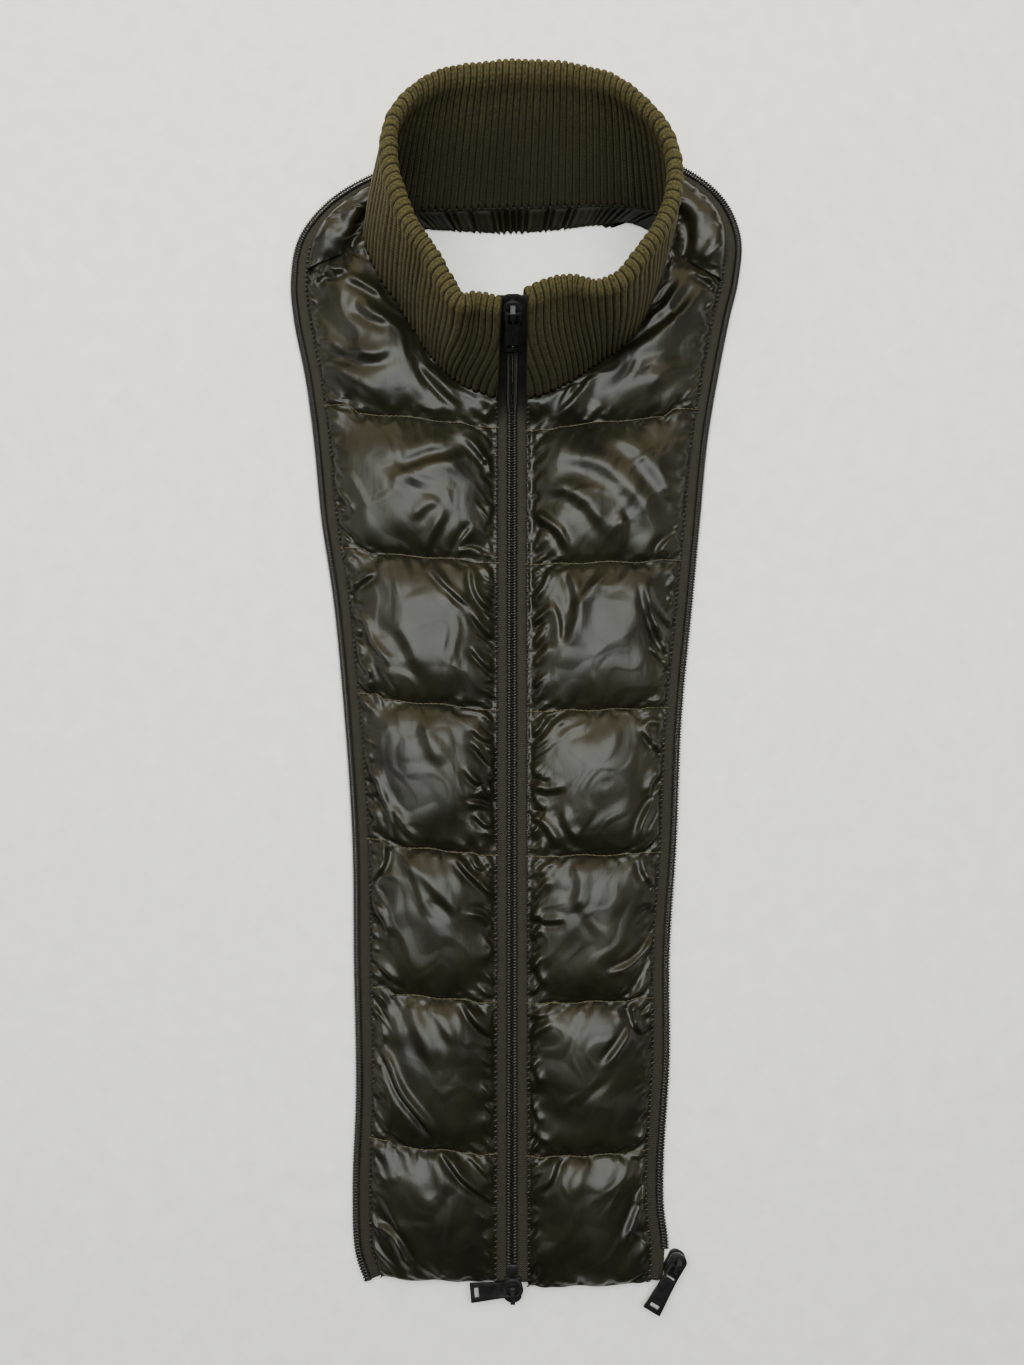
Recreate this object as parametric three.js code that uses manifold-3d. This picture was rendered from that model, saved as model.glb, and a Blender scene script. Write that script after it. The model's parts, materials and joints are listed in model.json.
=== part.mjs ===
import * as THREE from "three";
import Module from "manifold-3d";
import { mergeVertices } from "three/addons/utils/BufferGeometryUtils.js";

// A zip-in quilted front insert with a rib-knit stand collar, laid flat on its back.
// Millimetres, +Z up, +Y from the hem to the neck, x = 0 on the centre zip.

const wasm = await Module();
wasm.setup();

// Shared sizes
const seamGap = 0.3; // between neighbouring pieces
const zipMid = 2.9; // height of the middle of every zip above the floor
const tapeThick = 1.2;
const coilHeight = 2.6;
const zipMargin = 9; // from the outer edge of the edge coil to the inner edge of its tape
const curveRoom = 0.4; // what the straight facets of a curved edge may stand out
const coilWidth = 3.2;
const chainHalf = 3; // half the width of the closed chain
const stripHalf = 8.1; // from the centre line to the fabric beside the centre zip

// Padding
const edgeZ = 4.5;
const valleyZ = 8;
const seatZ = 13; // the strip that the collar stands on
const seatWidth = 8;
const seatBlend = 14;
const edgeRound = 5;
const loftRound = 9;
const puckersPerBaffle = 6;
const puckerDepth = 1.2;
const puckerReach = 8;
const puckerInset = 0.5;

// Outer edge of the edge coil, from the left hem round the back of the neck to the right hem
const edgeRows = [
  { x: -75.5, y: 0.8 },
  { x: -80.5, y: 15 },
  { x: -82.3, y: 45 },
  { x: -81.3, y: 95 },
  { x: -83.3, y: 160 },
  { x: -85, y: 223 },
  { x: -90, y: 287 },
  { x: -97, y: 352 },
  { x: -104, y: 395 },
  { x: -109, y: 440 },
  { x: -114, y: 474 },
  { x: -121, y: 508 },
  { x: -123, y: 530 },
  { x: -119, y: 555 },
  { x: -102, y: 577.5 },
  { x: -72, y: 595.5 },
  { x: -32, y: 608 },
  { x: 10, y: 612 },
  { x: 52, y: 609 },
  { x: 90, y: 599.5 },
  { x: 117, y: 580 },
  { x: 127.5, y: 556 },
  { x: 126, y: 531 },
  { x: 120.5, y: 508 },
  { x: 113.5, y: 474 },
  { x: 107.5, y: 440 },
  { x: 102.6, y: 395 },
  { x: 98, y: 352 },
  { x: 91, y: 287 },
  { x: 87.5, y: 223 },
  { x: 83, y: 165 },
  { x: 82.2, y: 110 },
  { x: 78.6, y: 62 },
  { x: 78.2, y: 38 },
  { x: 80.3, y: 18 },
  { x: 79, y: 1 },
];

// Quilting seams from the hem up: height beside the zip and at the outer edge on each side, and the loft
// of the baffle above the seam. The last row is the shoulder seam.
const seamRows = [
  { leftIn: 2.4, leftOut: 4, rightIn: -0.4, rightOut: 1.8, loft: 18.5 },
  { leftIn: 64.3, leftOut: 72.1, rightIn: 63.2, rightOut: 66.4, loft: 21.5 },
  { leftIn: 140.3, leftOut: 148, rightIn: 139.8, rightOut: 142.6, loft: 22.5 },
  { leftIn: 215.6, leftOut: 224.1, rightIn: 215, rightOut: 217.2, loft: 22 },
  { leftIn: 291.9, leftOut: 300.8, rightIn: 291, rightOut: 293.3, loft: 23 },
  { leftIn: 371, leftOut: 379.2, rightIn: 370, rightOut: 372.4, loft: 22 },
  { leftIn: 445.6, leftOut: 458.3, rightIn: 443.8, rightOut: 456, loft: 20.5 },
  { leftOut: 534, rightOut: 528 },
];
const zipTop = 463.8; // where the fabric edge leaves the centre zip and follows the neck
const leftShoulder = { x: -78, y: 550 };
const rightShoulder = { x: 84, y: 546 };

// Collar, from the left front end round the back to the right one: middle of the wall at the base and at
// the rim, and the height of the rim
const collarRows = [
  { x: -8.8, y: 461.3, rimX: -6.4, rimY: 484.6, top: 76 },
  { x: -23.5, y: 467, rimX: -17.3, rimY: 486.9, top: 77 },
  { x: -32.3, y: 473.2, rimX: -24, rimY: 486, top: 76.5 },
  { x: -42.2, y: 484, rimX: -31, rimY: 496.5, top: 75.5 },
  { x: -50.2, y: 496.6, rimX: -38.5, rimY: 510.5, top: 76 },
  { x: -59.6, y: 512.2, rimX: -47.6, rimY: 523, top: 76.5 },
  { x: -68.7, y: 525, rimX: -54.1, rimY: 539.3, top: 77 },
  { x: -75.8, y: 540, rimX: -58.2, rimY: 557, top: 77 },
  { x: -78.5, y: 553, rimX: -57.5, rimY: 574, top: 77.5 },
  { x: -70, y: 563, rimX: -50, rimY: 587.5, top: 78 },
  { x: -53, y: 566.4, rimX: -38, rimY: 596.5, top: 78 },
  { x: -30, y: 567.4, rimX: -20, rimY: 601.3, top: 78 },
  { x: 0, y: 568.2, rimX: 4, rimY: 603, top: 78.5 },
  { x: 30, y: 569.2, rimX: 28, rimY: 601.5, top: 78 },
  { x: 56, y: 569.8, rimX: 48, rimY: 595.8, top: 78 },
  { x: 77, y: 566.6, rimX: 63, rimY: 585, top: 77.5 },
  { x: 86, y: 556, rimX: 73, rimY: 571, top: 77 },
  { x: 83, y: 542.6, rimX: 78.4, rimY: 553.5, top: 76 },
  { x: 79.5, y: 531.3, rimX: 77.5, rimY: 538, top: 75.5 },
  { x: 74.7, y: 517, rimX: 71.3, rimY: 523.6, top: 76 },
  { x: 67.4, y: 500.6, rimX: 61.2, rimY: 509, top: 76.5 },
  { x: 57.2, y: 488.9, rimX: 50.5, rimY: 496.5, top: 76 },
  { x: 46.4, y: 481.2, rimX: 40, rimY: 493, top: 76.5 },
  { x: 32.4, y: 471.4, rimX: 28, rimY: 496, top: 76 },
  { x: 19, y: 464, rimX: 16.5, rimY: 493.6, top: 76.5 },
  { x: 8.8, y: 461.3, rimX: 7.6, rimY: 489, top: 76 },
];
const collarRibs = 108;
const ribRaise = 0.45;
const collarBulge = 1.5;
const collarHalf = 2.6;
// Wall section, up the outside, over the rolled rim and down the inside: share of the height, and offset
// outwards from the middle of the wall
const collarSection = [
  { up: 0, out: 2.5 },
  { up: 0.3, out: 2.6 },
  { up: 0.65, out: 2.6 },
  { up: 0.86, out: 3 },
  { up: 0.94, out: 3.9 },
  { up: 0.985, out: 2.4 },
  { up: 1, out: 0 },
  { up: 0.98, out: -2.4 },
  { up: 0.93, out: -3.5 },
  { up: 0.84, out: -2.7 },
  { up: 0.4, out: -2.6 },
  { up: 0, out: -2.5 },
];

// Back neck yoke: gathered at the neck, hollow beside the collar, then a smooth rounded band
const yokeGathers = 28;
const gatherDepth = 0.7;
const yokeSeat = 6.5;
const yokeEndBlend = 0.07;
const yokeProfile = [
  { across: 0.16, z: 8.6 },
  { across: 0.32, z: 10.5 },
  { across: 0.5, z: 15.8 },
  { across: 0.68, z: 16.2 },
  { across: 0.84, z: 13 },
  { across: 0.94, z: 8.5 },
  { across: 1, z: edgeZ },
];

// Zip in the collar: it turns up at the neck and climbs the front wall
const zipHem = 0.6;
const turnStart = 451.5;
const turnRadius = 8;
const collarLean = THREE.MathUtils.degToRad(22);
const zipShift = 0.5;
const collarTapeHalf = 4.9;
const pinBlock = { from: 4.1, to: 9.3, half: 2.7 };

// Sliders and pulls
const sliderLong = 12;
const sliderWide = 9;
const sliderPlate = 1.3;
const sliderRoom = 3.2; // between the two plates
const sliderTop = 2 * sliderPlate + sliderRoom;
const postHalf = 1.3;
const tabThick = 1.3;
const crownHalf = 1.2;
const barLong = 1.5;
const crownRoom = 2.7;
const loopHinge = sliderTop + crownRoom / 2;
const tabDroop = THREE.MathUtils.degToRad(3.5);
const ringOuter = 5.3;
const ringInner = 3.4;
const ringHinge = { along: 1, up: sliderTop + seamGap + tabThick / 2 };

const colours = {
  nylon: { color: 0x2c2f28, roughness: 0.32, metalness: 0 },
  rib: { color: 0x6a5f33, roughness: 0.95, metalness: 0 },
  tape: { color: 0x39362a, roughness: 0.9, metalness: 0 },
  coil: { color: 0x2a2824, roughness: 0.5, metalness: 0 },
  metal: { color: 0x161618, roughness: 0.35, metalness: 0.6 },
};

const garment = new THREE.Group();

function addPiece(name, geometry, look) {
  const mesh = new THREE.Mesh(geometry, new THREE.MeshStandardMaterial(colours[look]));
  mesh.name = name;
  garment.add(mesh);
}

// Geometry from points and triangles, turned outwards if the faces enclose a negative volume
function solidFrom(points, faces) {
  let volume = 0;
  for (const [a, b, c] of faces) {
    volume += points[a].dot(new THREE.Vector3().crossVectors(points[b], points[c]));
  }
  const order = volume < 0 ? faces.map(([a, b, c]) => [a, c, b]) : faces;
  const geometry = new THREE.BufferGeometry();
  geometry.setAttribute(
    "position",
    new THREE.Float32BufferAttribute(points.flatMap((p) => [p.x, p.y, p.z]), 3),
  );
  geometry.setIndex(order.flat());
  return geometry;
}

// Closed solid through a row of equal loops, with both ends capped. The section is one loop laid out flat.
function loft(loops, section) {
  if (THREE.ShapeUtils.isClockWise(section)) {
    return loft(loops.map((loop) => loop.slice().reverse()), section.slice().reverse());
  }
  const size = section.length;
  const faces = [];
  for (let i = 0; i + 1 < loops.length; i++) {
    for (let j = 0; j < size; j++) {
      const k = (j + 1) % size;
      const here = i * size;
      const next = here + size;
      faces.push([here + j, here + k, next + k], [here + j, next + k, next + j]);
    }
  }
  const last = (loops.length - 1) * size;
  for (const [a, b, c] of THREE.ShapeUtils.triangulateShape(section, [])) {
    faces.push([a, c, b], [last + a, last + b, last + c]);
  }
  return solidFrom(loops.flat(), faces);
}

// Closed solid under a grid of points: the grid on top, upright walls, a flat underside on the floor
function paddedSolid(grid) {
  const rows = grid.length;
  const columns = grid[0].length;
  const points = grid.flat();
  const faces = [];
  for (let i = 0; i + 1 < rows; i++) {
    for (let j = 0; j + 1 < columns; j++) {
      const a = i * columns + j;
      const b = a + columns;
      if ((i + j) % 2) {
        faces.push([a, a + 1, b], [a + 1, b + 1, b]);
      } else {
        faces.push([a, a + 1, b + 1], [a, b + 1, b]);
      }
    }
  }
  const rim = [];
  for (let j = 0; j < columns - 1; j++) rim.push([0, j]);
  for (let i = 0; i < rows - 1; i++) rim.push([i, columns - 1]);
  for (let j = columns - 1; j > 0; j--) rim.push([rows - 1, j]);
  for (let i = rows - 1; i > 0; i--) rim.push([i, 0]);
  const floor = new Map();
  for (const [i, j] of rim) {
    const top = points[i * columns + j];
    floor.set(`${i} ${j}`, points.length);
    points.push(new THREE.Vector3(top.x, top.y, 0));
  }
  const under = (i, j) => floor.get(`${i} ${j}`);
  rim.forEach(([i, j], k) => {
    const [ni, nj] = rim[(k + 1) % rim.length];
    const top = i * columns + j;
    const next = ni * columns + nj;
    faces.push([top, under(i, j), under(ni, nj)], [top, under(ni, nj), next]);
  });
  // the underside is a strip across each row, with a fan to the points of the first and last rows
  const end = columns - 1;
  for (let j = 0; j < end; j++) {
    faces.push([under(0, j), under(1, 0), under(0, j + 1)]);
    faces.push([under(rows - 1, j), under(rows - 1, j + 1), under(rows - 2, end)]);
  }
  faces.push([under(0, end), under(1, 0), under(1, end)]);
  faces.push([under(rows - 1, 0), under(rows - 2, end), under(rows - 2, 0)]);
  for (let i = 1; i + 2 < rows; i++) {
    faces.push([under(i, 0), under(i + 1, end), under(i, end)]);
    faces.push([under(i, 0), under(i + 1, 0), under(i + 1, end)]);
  }
  return solidFrom(points, faces);
}

// Plan curves

function planCurve(rows) {
  const points = rows.map((row) => new THREE.Vector3(row.x, row.y, 0));
  return new THREE.CatmullRomCurve3(points, false, "centripetal");
}

function evenLine(rows, count) {
  return planCurve(rows).getSpacedPoints(count).map((p) => new THREE.Vector2(p.x, p.y));
}

// Points moved sideways: a positive distance moves them to the right of the direction of travel
function offsetLine(line, distance) {
  return line.map((point, i) => {
    const before = line[Math.max(i - 1, 0)];
    const after = line[Math.min(i + 1, line.length - 1)];
    const along = after.clone().sub(before).normalize();
    return new THREE.Vector2(point.x + along.y * distance, point.y - along.x * distance);
  });
}

function lengthsOf(line) {
  const sums = [0];
  for (let i = 1; i < line.length; i++) {
    sums.push(sums[i - 1] + line[i].distanceTo(line[i - 1]));
  }
  return sums;
}

function pointAt(line, sums, distance) {
  let i = 1;
  while (i < line.length - 1 && sums[i] < distance) i++;
  const share = (distance - sums[i - 1]) / (sums[i] - sums[i - 1]);
  return line[i - 1].clone().lerp(line[i], THREE.MathUtils.clamp(share, 0, 1));
}

function nearest(line, point) {
  let best = 0;
  line.forEach((candidate, i) => {
    if (candidate.distanceTo(point) < line[best].distanceTo(point)) best = i;
  });
  return best;
}

function distanceToLine(line, point) {
  let best = Infinity;
  for (let i = 1; i < line.length; i++) {
    const span = line[i].clone().sub(line[i - 1]);
    const share = THREE.MathUtils.clamp(point.clone().sub(line[i - 1]).dot(span) / span.lengthSq(), 0, 1);
    best = Math.min(best, point.distanceTo(line[i - 1].clone().addScaledVector(span, share)));
  }
  return best;
}

const stationsPerRow = 3;
const edgeLine = planCurve(edgeRows)
  .getPoints(stationsPerRow * (edgeRows.length - 1))
  .map((p) => new THREE.Vector2(p.x, p.y));
const fabricLine = offsetLine(evenLine(edgeRows, 480), zipMargin + curveRoom);
const collarLine = evenLine(collarRows, 480);
const neckLine = offsetLine(collarLine, collarHalf);
const neckLeft = nearest(neckLine, leftShoulder);
const neckRight = nearest(neckLine, rightShoulder);

// First point of the fabric edge that reaches a height, counted from one of the two hems
function fabricIndex(height, fromRight) {
  const order = fabricLine.map((_, i) => (fromRight ? fabricLine.length - 1 - i : i));
  return order.find((i) => fabricLine[i].y >= height);
}

// Height of the padding a given distance in from the edges of a baffle
function padHeight(fromEdge, loft, through) {
  const rise = 1 - Math.exp(-fromEdge / edgeRound);
  const swell = 1 - Math.exp(-fromEdge / loftRound);
  const pillow = Math.sin(Math.PI * through) ** 0.6;
  return edgeZ + (valleyZ - edgeZ) * rise + (loft - valleyZ) * swell * pillow;
}

// Front panels: seven baffles between the zip, the neck and the edge zip

const panelColumns = [0, 0.035, 0.09, 0.17, 0.28, 0.41, 0.55, 0.68, 0.8, 0.89, 0.955, 1];

function frontPanel(side) {
  const left = side < 0;
  const inKey = left ? "leftIn" : "rightIn";
  const outKey = left ? "leftOut" : "rightOut";
  const neck = left ? neckLine.slice(0, neckLeft + 1) : neckLine.slice(neckRight).reverse();
  const inner = [new THREE.Vector2(side * stripHalf, seamRows[0][inKey])];
  inner.push(new THREE.Vector2(side * stripHalf, zipTop), ...neck.filter((p) => p.y > zipTop + 0.5));
  const outStops = seamRows.map((row) => fabricIndex(row[outKey], !left));
  const outer = left ? fabricLine : fabricLine.slice().reverse();
  const outerStops = outStops.map((i) => (left ? i : fabricLine.length - 1 - i));
  const edge = outer.slice(outerStops[0], outerStops[seamRows.length - 1] + 1);
  const innerSums = lengthsOf(inner);
  const outerSums = lengthsOf(outer);
  const neckStart = zipTop - seamRows[0][inKey];
  const neckEnd = innerSums[innerSums.length - 1];
  const steps = 2 * puckersPerBaffle;
  const grid = [];
  for (let baffle = 0; baffle + 1 < seamRows.length; baffle++) {
    const top = baffle + 2 === seamRows.length;
    const count = top ? steps + 2 : steps;
    const from = seamRows[baffle][inKey] - seamRows[0][inKey];
    const to = top ? neckEnd : seamRows[baffle + 1][inKey] - seamRows[0][inKey];
    const outFrom = outerSums[outerStops[baffle]];
    const outTo = outerSums[outerStops[baffle + 1]];
    for (let step = baffle === 0 ? 0 : 1; step <= count; step++) {
      const through = step / count;
      const pucker = Math.cos(Math.PI * step);
      let along = from + (to - from) * through;
      if (top) {
        // two rows climb the end of the zip, the rest fan round the neck
        along = step <= 2
          ? from + ((neckStart - from) * step) / 2
          : neckStart + ((neckEnd - neckStart) * (step - 2)) / steps;
      }
      const a = pointAt(inner, innerSums, along);
      const b = pointAt(outer, outerSums, outFrom + (outTo - outFrom) * through);
      const inset = (puckerInset * (1 - pucker)) / 2 / a.distanceTo(b);
      grid.push(panelColumns.map((column) => {
        const point = a.clone().lerp(b, THREE.MathUtils.lerp(inset, 1 - inset, column));
        const fromNeck = distanceToLine(neck, point);
        const fromEdge = Math.min(
          distanceToLine(inner, point),
          distanceToLine(edge, point),
        );
        const ripple = puckerDepth * pucker * Math.exp(-fromEdge / puckerReach);
        const puff = padHeight(fromEdge, seamRows[baffle].loft, through) + ripple;
        const onSeat = 1 - THREE.MathUtils.smoothstep(fromNeck, seatWidth, seatWidth + seatBlend);
        return new THREE.Vector3(point.x, point.y, THREE.MathUtils.lerp(puff, seatZ, onSeat));
      }));
    }
  }
  return { geometry: paddedSolid(grid), shoulder: grid[grid.length - 1] };
}

const leftPanel = frontPanel(-1);
const rightPanel = frontPanel(1);
addPiece("front_left", leftPanel.geometry, "nylon");
addPiece("front_right", rightPanel.geometry, "nylon");

// Back neck yoke between the two shoulder seams

function backYoke() {
  const inner = neckLine.slice(neckLeft, neckRight + 1);
  const last = seamRows.length - 1;
  const outer = fabricLine.slice(
    fabricIndex(seamRows[last].leftOut, false),
    fabricIndex(seamRows[last].rightOut, true) + 1,
  );
  const innerSums = lengthsOf(inner);
  const outerSums = lengthsOf(outer);
  const innerLong = innerSums[innerSums.length - 1] - 2 * seamGap;
  const outerLong = outerSums[outerSums.length - 1] - 2 * seamGap;
  const steps = 2 * yokeGathers;
  const grid = [];
  for (let step = 0; step <= steps; step++) {
    const share = step / steps;
    const a = pointAt(inner, innerSums, seamGap + innerLong * share);
    const b = pointAt(outer, outerSums, seamGap + outerLong * share);
    const across = b.clone().sub(a);
    const depth = across.length();
    across.normalize();
    const gather = gatherDepth * (step % 2);
    const fromEnd = Math.min(share, 1 - share);
    const swell = THREE.MathUtils.smoothstep(fromEnd, 0, yokeEndBlend);
    const row = [
      { along: gather, z: seatZ },
      { along: yokeSeat, z: seatZ },
    ];
    for (const { across: part, z } of yokeProfile) {
      const lift = THREE.MathUtils.lerp(Math.min(z, valleyZ), z, swell);
      const ripple = (step % 2 ? -1 : 1) * gatherDepth * (1 - part);
      row.push({ along: yokeSeat + (depth - yokeSeat) * part, z: lift + ripple });
    }
    grid.push(row.map(({ along, z }) => {
      const point = a.clone().addScaledVector(across, along);
      return new THREE.Vector3(point.x, point.y, z);
    }));
  }
  return paddedSolid(grid);
}

addPiece("back_yoke", backYoke(), "nylon");

// Rib collar: one wall, ribs raised on both faces, open at the front

function ribCollar() {
  const baseLine = evenLine(collarRows, 2 * collarRibs);
  const baseZ = seatZ + seamGap;
  const points = collarRows.map((row) => new THREE.Vector3(row.x, row.y, 0));
  const rims = collarRows.map((row) => new THREE.Vector3(row.rimX, row.rimY, row.top));
  const baseCurve = new THREE.CatmullRomCurve3(points, false, "centripetal");
  const rimCurve = new THREE.CatmullRomCurve3(rims, false, "centripetal");
  const shares = [];
  for (let i = 0; i <= 2 * collarRibs; i++) {
    shares.push(baseCurve.getUtoTmapping(i / (2 * collarRibs)));
  }
  const rimLine = shares.map((t) => rimCurve.getPoint(t));
  const rimPlan = rimLine.map((p) => new THREE.Vector2(p.x, p.y));
  const baseOut = offsetLine(baseLine, -1);
  const rimOut = offsetLine(rimPlan, -1);
  const loops = baseLine.map((base, i) => {
    const raise = i % 2 ? -ribRaise : ribRaise;
    const outBase = baseOut[i].clone().sub(base);
    const outRim = rimOut[i].clone().sub(rimPlan[i]);
    return collarSection.map(({ up, out }) => {
      const outward = outBase.clone().lerp(outRim, up).normalize();
      const crest = out === 0 ? 0 : Math.sign(out) * raise;
      const shift = out + crest + collarBulge * Math.sin(Math.PI * up);
      const z = baseZ + (rimLine[i].z - baseZ) * up + (out === 0 ? raise : 0);
      return new THREE.Vector3(
        THREE.MathUtils.lerp(base.x, rimPlan[i].x, up) + outward.x * shift,
        THREE.MathUtils.lerp(base.y, rimPlan[i].y, up) + outward.y * shift,
        z,
      );
    });
  });
  return loft(loops, collarSection.map(({ up, out }) => new THREE.Vector2(out, up * (rimLine[0].z - baseZ))));
}

addPiece("collar", ribCollar(), "rib");

// Edge zip: one tape and one coil round the whole outline

function edgeBand(fromEdge, toEdge, section, first, last) {
  const line = edgeLine.slice(first, last);
  const sides = section.map(({ across }) => offsetLine(line, THREE.MathUtils.lerp(fromEdge, toEdge, across)));
  const loops = line.map((_, i) => section.map(({ z }, j) => {
    const point = sides[j][i];
    return new THREE.Vector3(point.x, point.y, z);
  }));
  return loft(loops, section.map(({ across, z }) => new THREE.Vector2(across, z)));
}

const tapeSection = [
  { across: 0, z: zipMid - tapeThick / 2 },
  { across: 1, z: zipMid - tapeThick / 2 },
  { across: 1, z: zipMid + tapeThick / 2 },
  { across: 0, z: zipMid + tapeThick / 2 },
];
const coilSection = [
  { across: 0.15, z: zipMid - coilHeight / 2 },
  { across: 0.85, z: zipMid - coilHeight / 2 },
  { across: 1, z: zipMid },
  { across: 0.75, z: zipMid + coilHeight / 2 },
  { across: 0.25, z: zipMid + coilHeight / 2 },
  { across: 0, z: zipMid },
];
const coilEnd = edgeLine.length - stationsPerRow; // the coil stops at the edge slider, short of the tape
const tapeBand = edgeBand(coilWidth + seamGap, zipMargin - seamGap, tapeSection, 0, edgeLine.length);
addPiece("edge_tape", tapeBand, "tape");
addPiece("edge_coil", edgeBand(0, coilWidth, coilSection, 0, coilEnd), "coil");

// Centre zip: stations along the middle, flat up the body, round the turn and up the collar

function zipStations(from) {
  const lean = Math.PI / 2 - collarLean;
  const stations = [{ x: 0, y: from, z: zipMid, angle: 0 }];
  const turnSteps = 6;
  for (let i = 0; i <= turnSteps; i++) {
    const angle = (lean * i) / turnSteps;
    stations.push({
      x: 0,
      y: turnStart + turnRadius * Math.sin(angle),
      z: zipMid + turnRadius * (1 - Math.cos(angle)),
      angle,
    });
  }
  return stations;
}

const turnEnd = zipStations(zipHem).pop();
const collarTop = collarRows[0].top;

// A point on the middle of the zip up the collar, at a given height
function collarStation(z) {
  const climb = (z - turnEnd.z) / Math.cos(collarLean);
  const share = (z - turnEnd.z) / (collarTop - turnEnd.z);
  return { x: zipShift * share, y: turnEnd.y + climb * Math.sin(collarLean), z, angle: turnEnd.angle };
}

function zipBand(stations, section, widthAt) {
  const loops = stations.map((station) => section.map(({ across, up }) => new THREE.Vector3(
    station.x + widthAt(station, across),
    station.y - up * Math.sin(station.angle),
    station.z + up * Math.cos(station.angle),
  )));
  return loft(loops, section.map(({ across, up }) => new THREE.Vector2(across, up)));
}

const chainSection = [
  { across: -1, up: -0.4 },
  { across: -0.8, up: -0.5 },
  { across: 0.8, up: -0.5 },
  { across: 1, up: -0.4 },
  { across: 1, up: 0.2 },
  { across: 0.75, up: 0.5 },
  { across: 0.25, up: 0.5 },
  { across: 0, up: 0.32 },
  { across: -0.25, up: 0.5 },
  { across: -0.75, up: 0.5 },
  { across: -1, up: 0.2 },
].map(({ across, up }) => ({ across, up: up * coilHeight }));

const topSliderZ = 69;
const sliderMiddle = collarStation(topSliderZ);
const chainEnd = collarStation(topSliderZ - Math.cos(collarLean));
const chainStations = [...zipStations(pinBlock.to + seamGap), chainEnd];
addPiece("centre_chain", zipBand(chainStations, chainSection, (_, across) => across * chainHalf), "coil");

const flatSection = [
  { across: 0, up: -tapeThick / 2 },
  { across: 1, up: -tapeThick / 2 },
  { across: 1, up: tapeThick / 2 },
  { across: 0, up: tapeThick / 2 },
];
for (const [name, side] of [["centre_tape_left", -1], ["centre_tape_right", 1]]) {
  const stations = [...zipStations(zipHem), collarStation(collarTop)];
  const tapeEdge = ({ z }) => {
    const share = THREE.MathUtils.clamp((z - turnEnd.z) / (collarTop - turnEnd.z), 0, 1);
    return THREE.MathUtils.lerp(stripHalf - 2 * seamGap, collarTapeHalf, share);
  };
  const inner = chainHalf + seamGap;
  const widthAt = (station, across) => side * THREE.MathUtils.lerp(inner, tapeEdge(station), across);
  addPiece(name, zipBand(stations, flatSection, widthAt), "tape");
}

const pinShape = new THREE.BoxGeometry(2 * pinBlock.half, pinBlock.to - pinBlock.from, coilHeight);
pinShape.translate(0, (pinBlock.from + pinBlock.to) / 2, zipMid);
addPiece("pin_block", pinShape, "metal");

// Sliders: two plates joined by a post, lips that hold the tape, and a crown for the pull.
// Local axes: x to the end where the closed chain leaves, z out of the garment, z = 0 under the plate.

function toManifold(geometry) {
  geometry.deleteAttribute("normal");
  geometry.deleteAttribute("uv");
  const merged = mergeVertices(geometry, 1e-4);
  return new wasm.Manifold(new wasm.Mesh({
    numProp: 3,
    vertProperties: new Float32Array(merged.attributes.position.array),
    triVerts: new Uint32Array(merged.index.array),
  }));
}

function fromManifold(solid) {
  const mesh = solid.getMesh();
  const geometry = new THREE.BufferGeometry();
  geometry.setAttribute("position", new THREE.BufferAttribute(new Float32Array(mesh.vertProperties), 3));
  geometry.setIndex(Array.from(mesh.triVerts));
  return geometry;
}

function boxBetween(x0, x1, y0, y1, z0, z1) {
  const box = new THREE.BoxGeometry(x1 - x0, y1 - y0, z1 - z0);
  box.translate((x0 + x1) / 2, (y0 + y1) / 2, (z0 + z1) / 2);
  return box;
}

function outlinePlate(z0, z1) {
  const half = sliderLong / 2;
  const wide = sliderWide / 2;
  const shape = new THREE.Shape();
  shape.moveTo(half, -wide + 0.9);
  shape.lineTo(half, wide - 0.9);
  shape.quadraticCurveTo(half - 0.4, wide - 0.3, half - 1.6, wide - 0.3);
  shape.lineTo(-half + 3.4, wide);
  shape.quadraticCurveTo(-half + 1, wide, -half, 1.4);
  shape.lineTo(-half, -1.4);
  shape.quadraticCurveTo(-half + 1, -wide, -half + 3.4, -wide);
  shape.lineTo(half - 1.6, -wide + 0.3);
  shape.quadraticCurveTo(half - 0.4, -wide + 0.3, half, -wide + 0.9);
  const plate = new THREE.ExtrudeGeometry(shape, { depth: z1 - z0, bevelEnabled: false, curveSegments: 4 });
  plate.translate(0, 0, z0);
  return plate;
}

function sliderBody(crownPieces) {
  const half = sliderLong / 2;
  const lip = { in: 3.5, out: 4.2, tall: 0.7 };
  const pieces = [
    outlinePlate(sliderPlate + sliderRoom, sliderTop),
    boxBetween(-half + 0.5, -half + 3, -postHalf, postHalf, sliderPlate / 2, sliderTop - sliderPlate / 2),
    ...crownPieces,
  ];
  for (const side of [-1, 1]) {
    const [y0, y1] = side < 0 ? [-lip.out, -lip.in] : [lip.in, lip.out];
    const ceiling = sliderPlate + sliderRoom;
    pieces.push(boxBetween(-half + 3.6, half - 0.6, y0, y1, sliderPlate / 2, sliderPlate + lip.tall));
    pieces.push(boxBetween(-half + 3.6, half - 0.6, y0, y1, ceiling - lip.tall, ceiling + sliderPlate / 2));
  }
  const lowerPlate = toManifold(outlinePlate(0, sliderPlate));
  return pieces.reduce((solid, piece) => solid.add(toManifold(piece)), lowerPlate);
}

// Bridge seen from the side, a named list of corners, as wide as the crown
function bridge(corners) {
  const shape = new THREE.Shape(corners.map(({ x, z }) => new THREE.Vector2(x, z)));
  const solid = new THREE.ExtrudeGeometry(shape, { depth: 2 * crownHalf, bevelEnabled: false });
  solid.rotateX(Math.PI / 2);
  solid.translate(0, crownHalf, 0);
  return solid;
}

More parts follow.
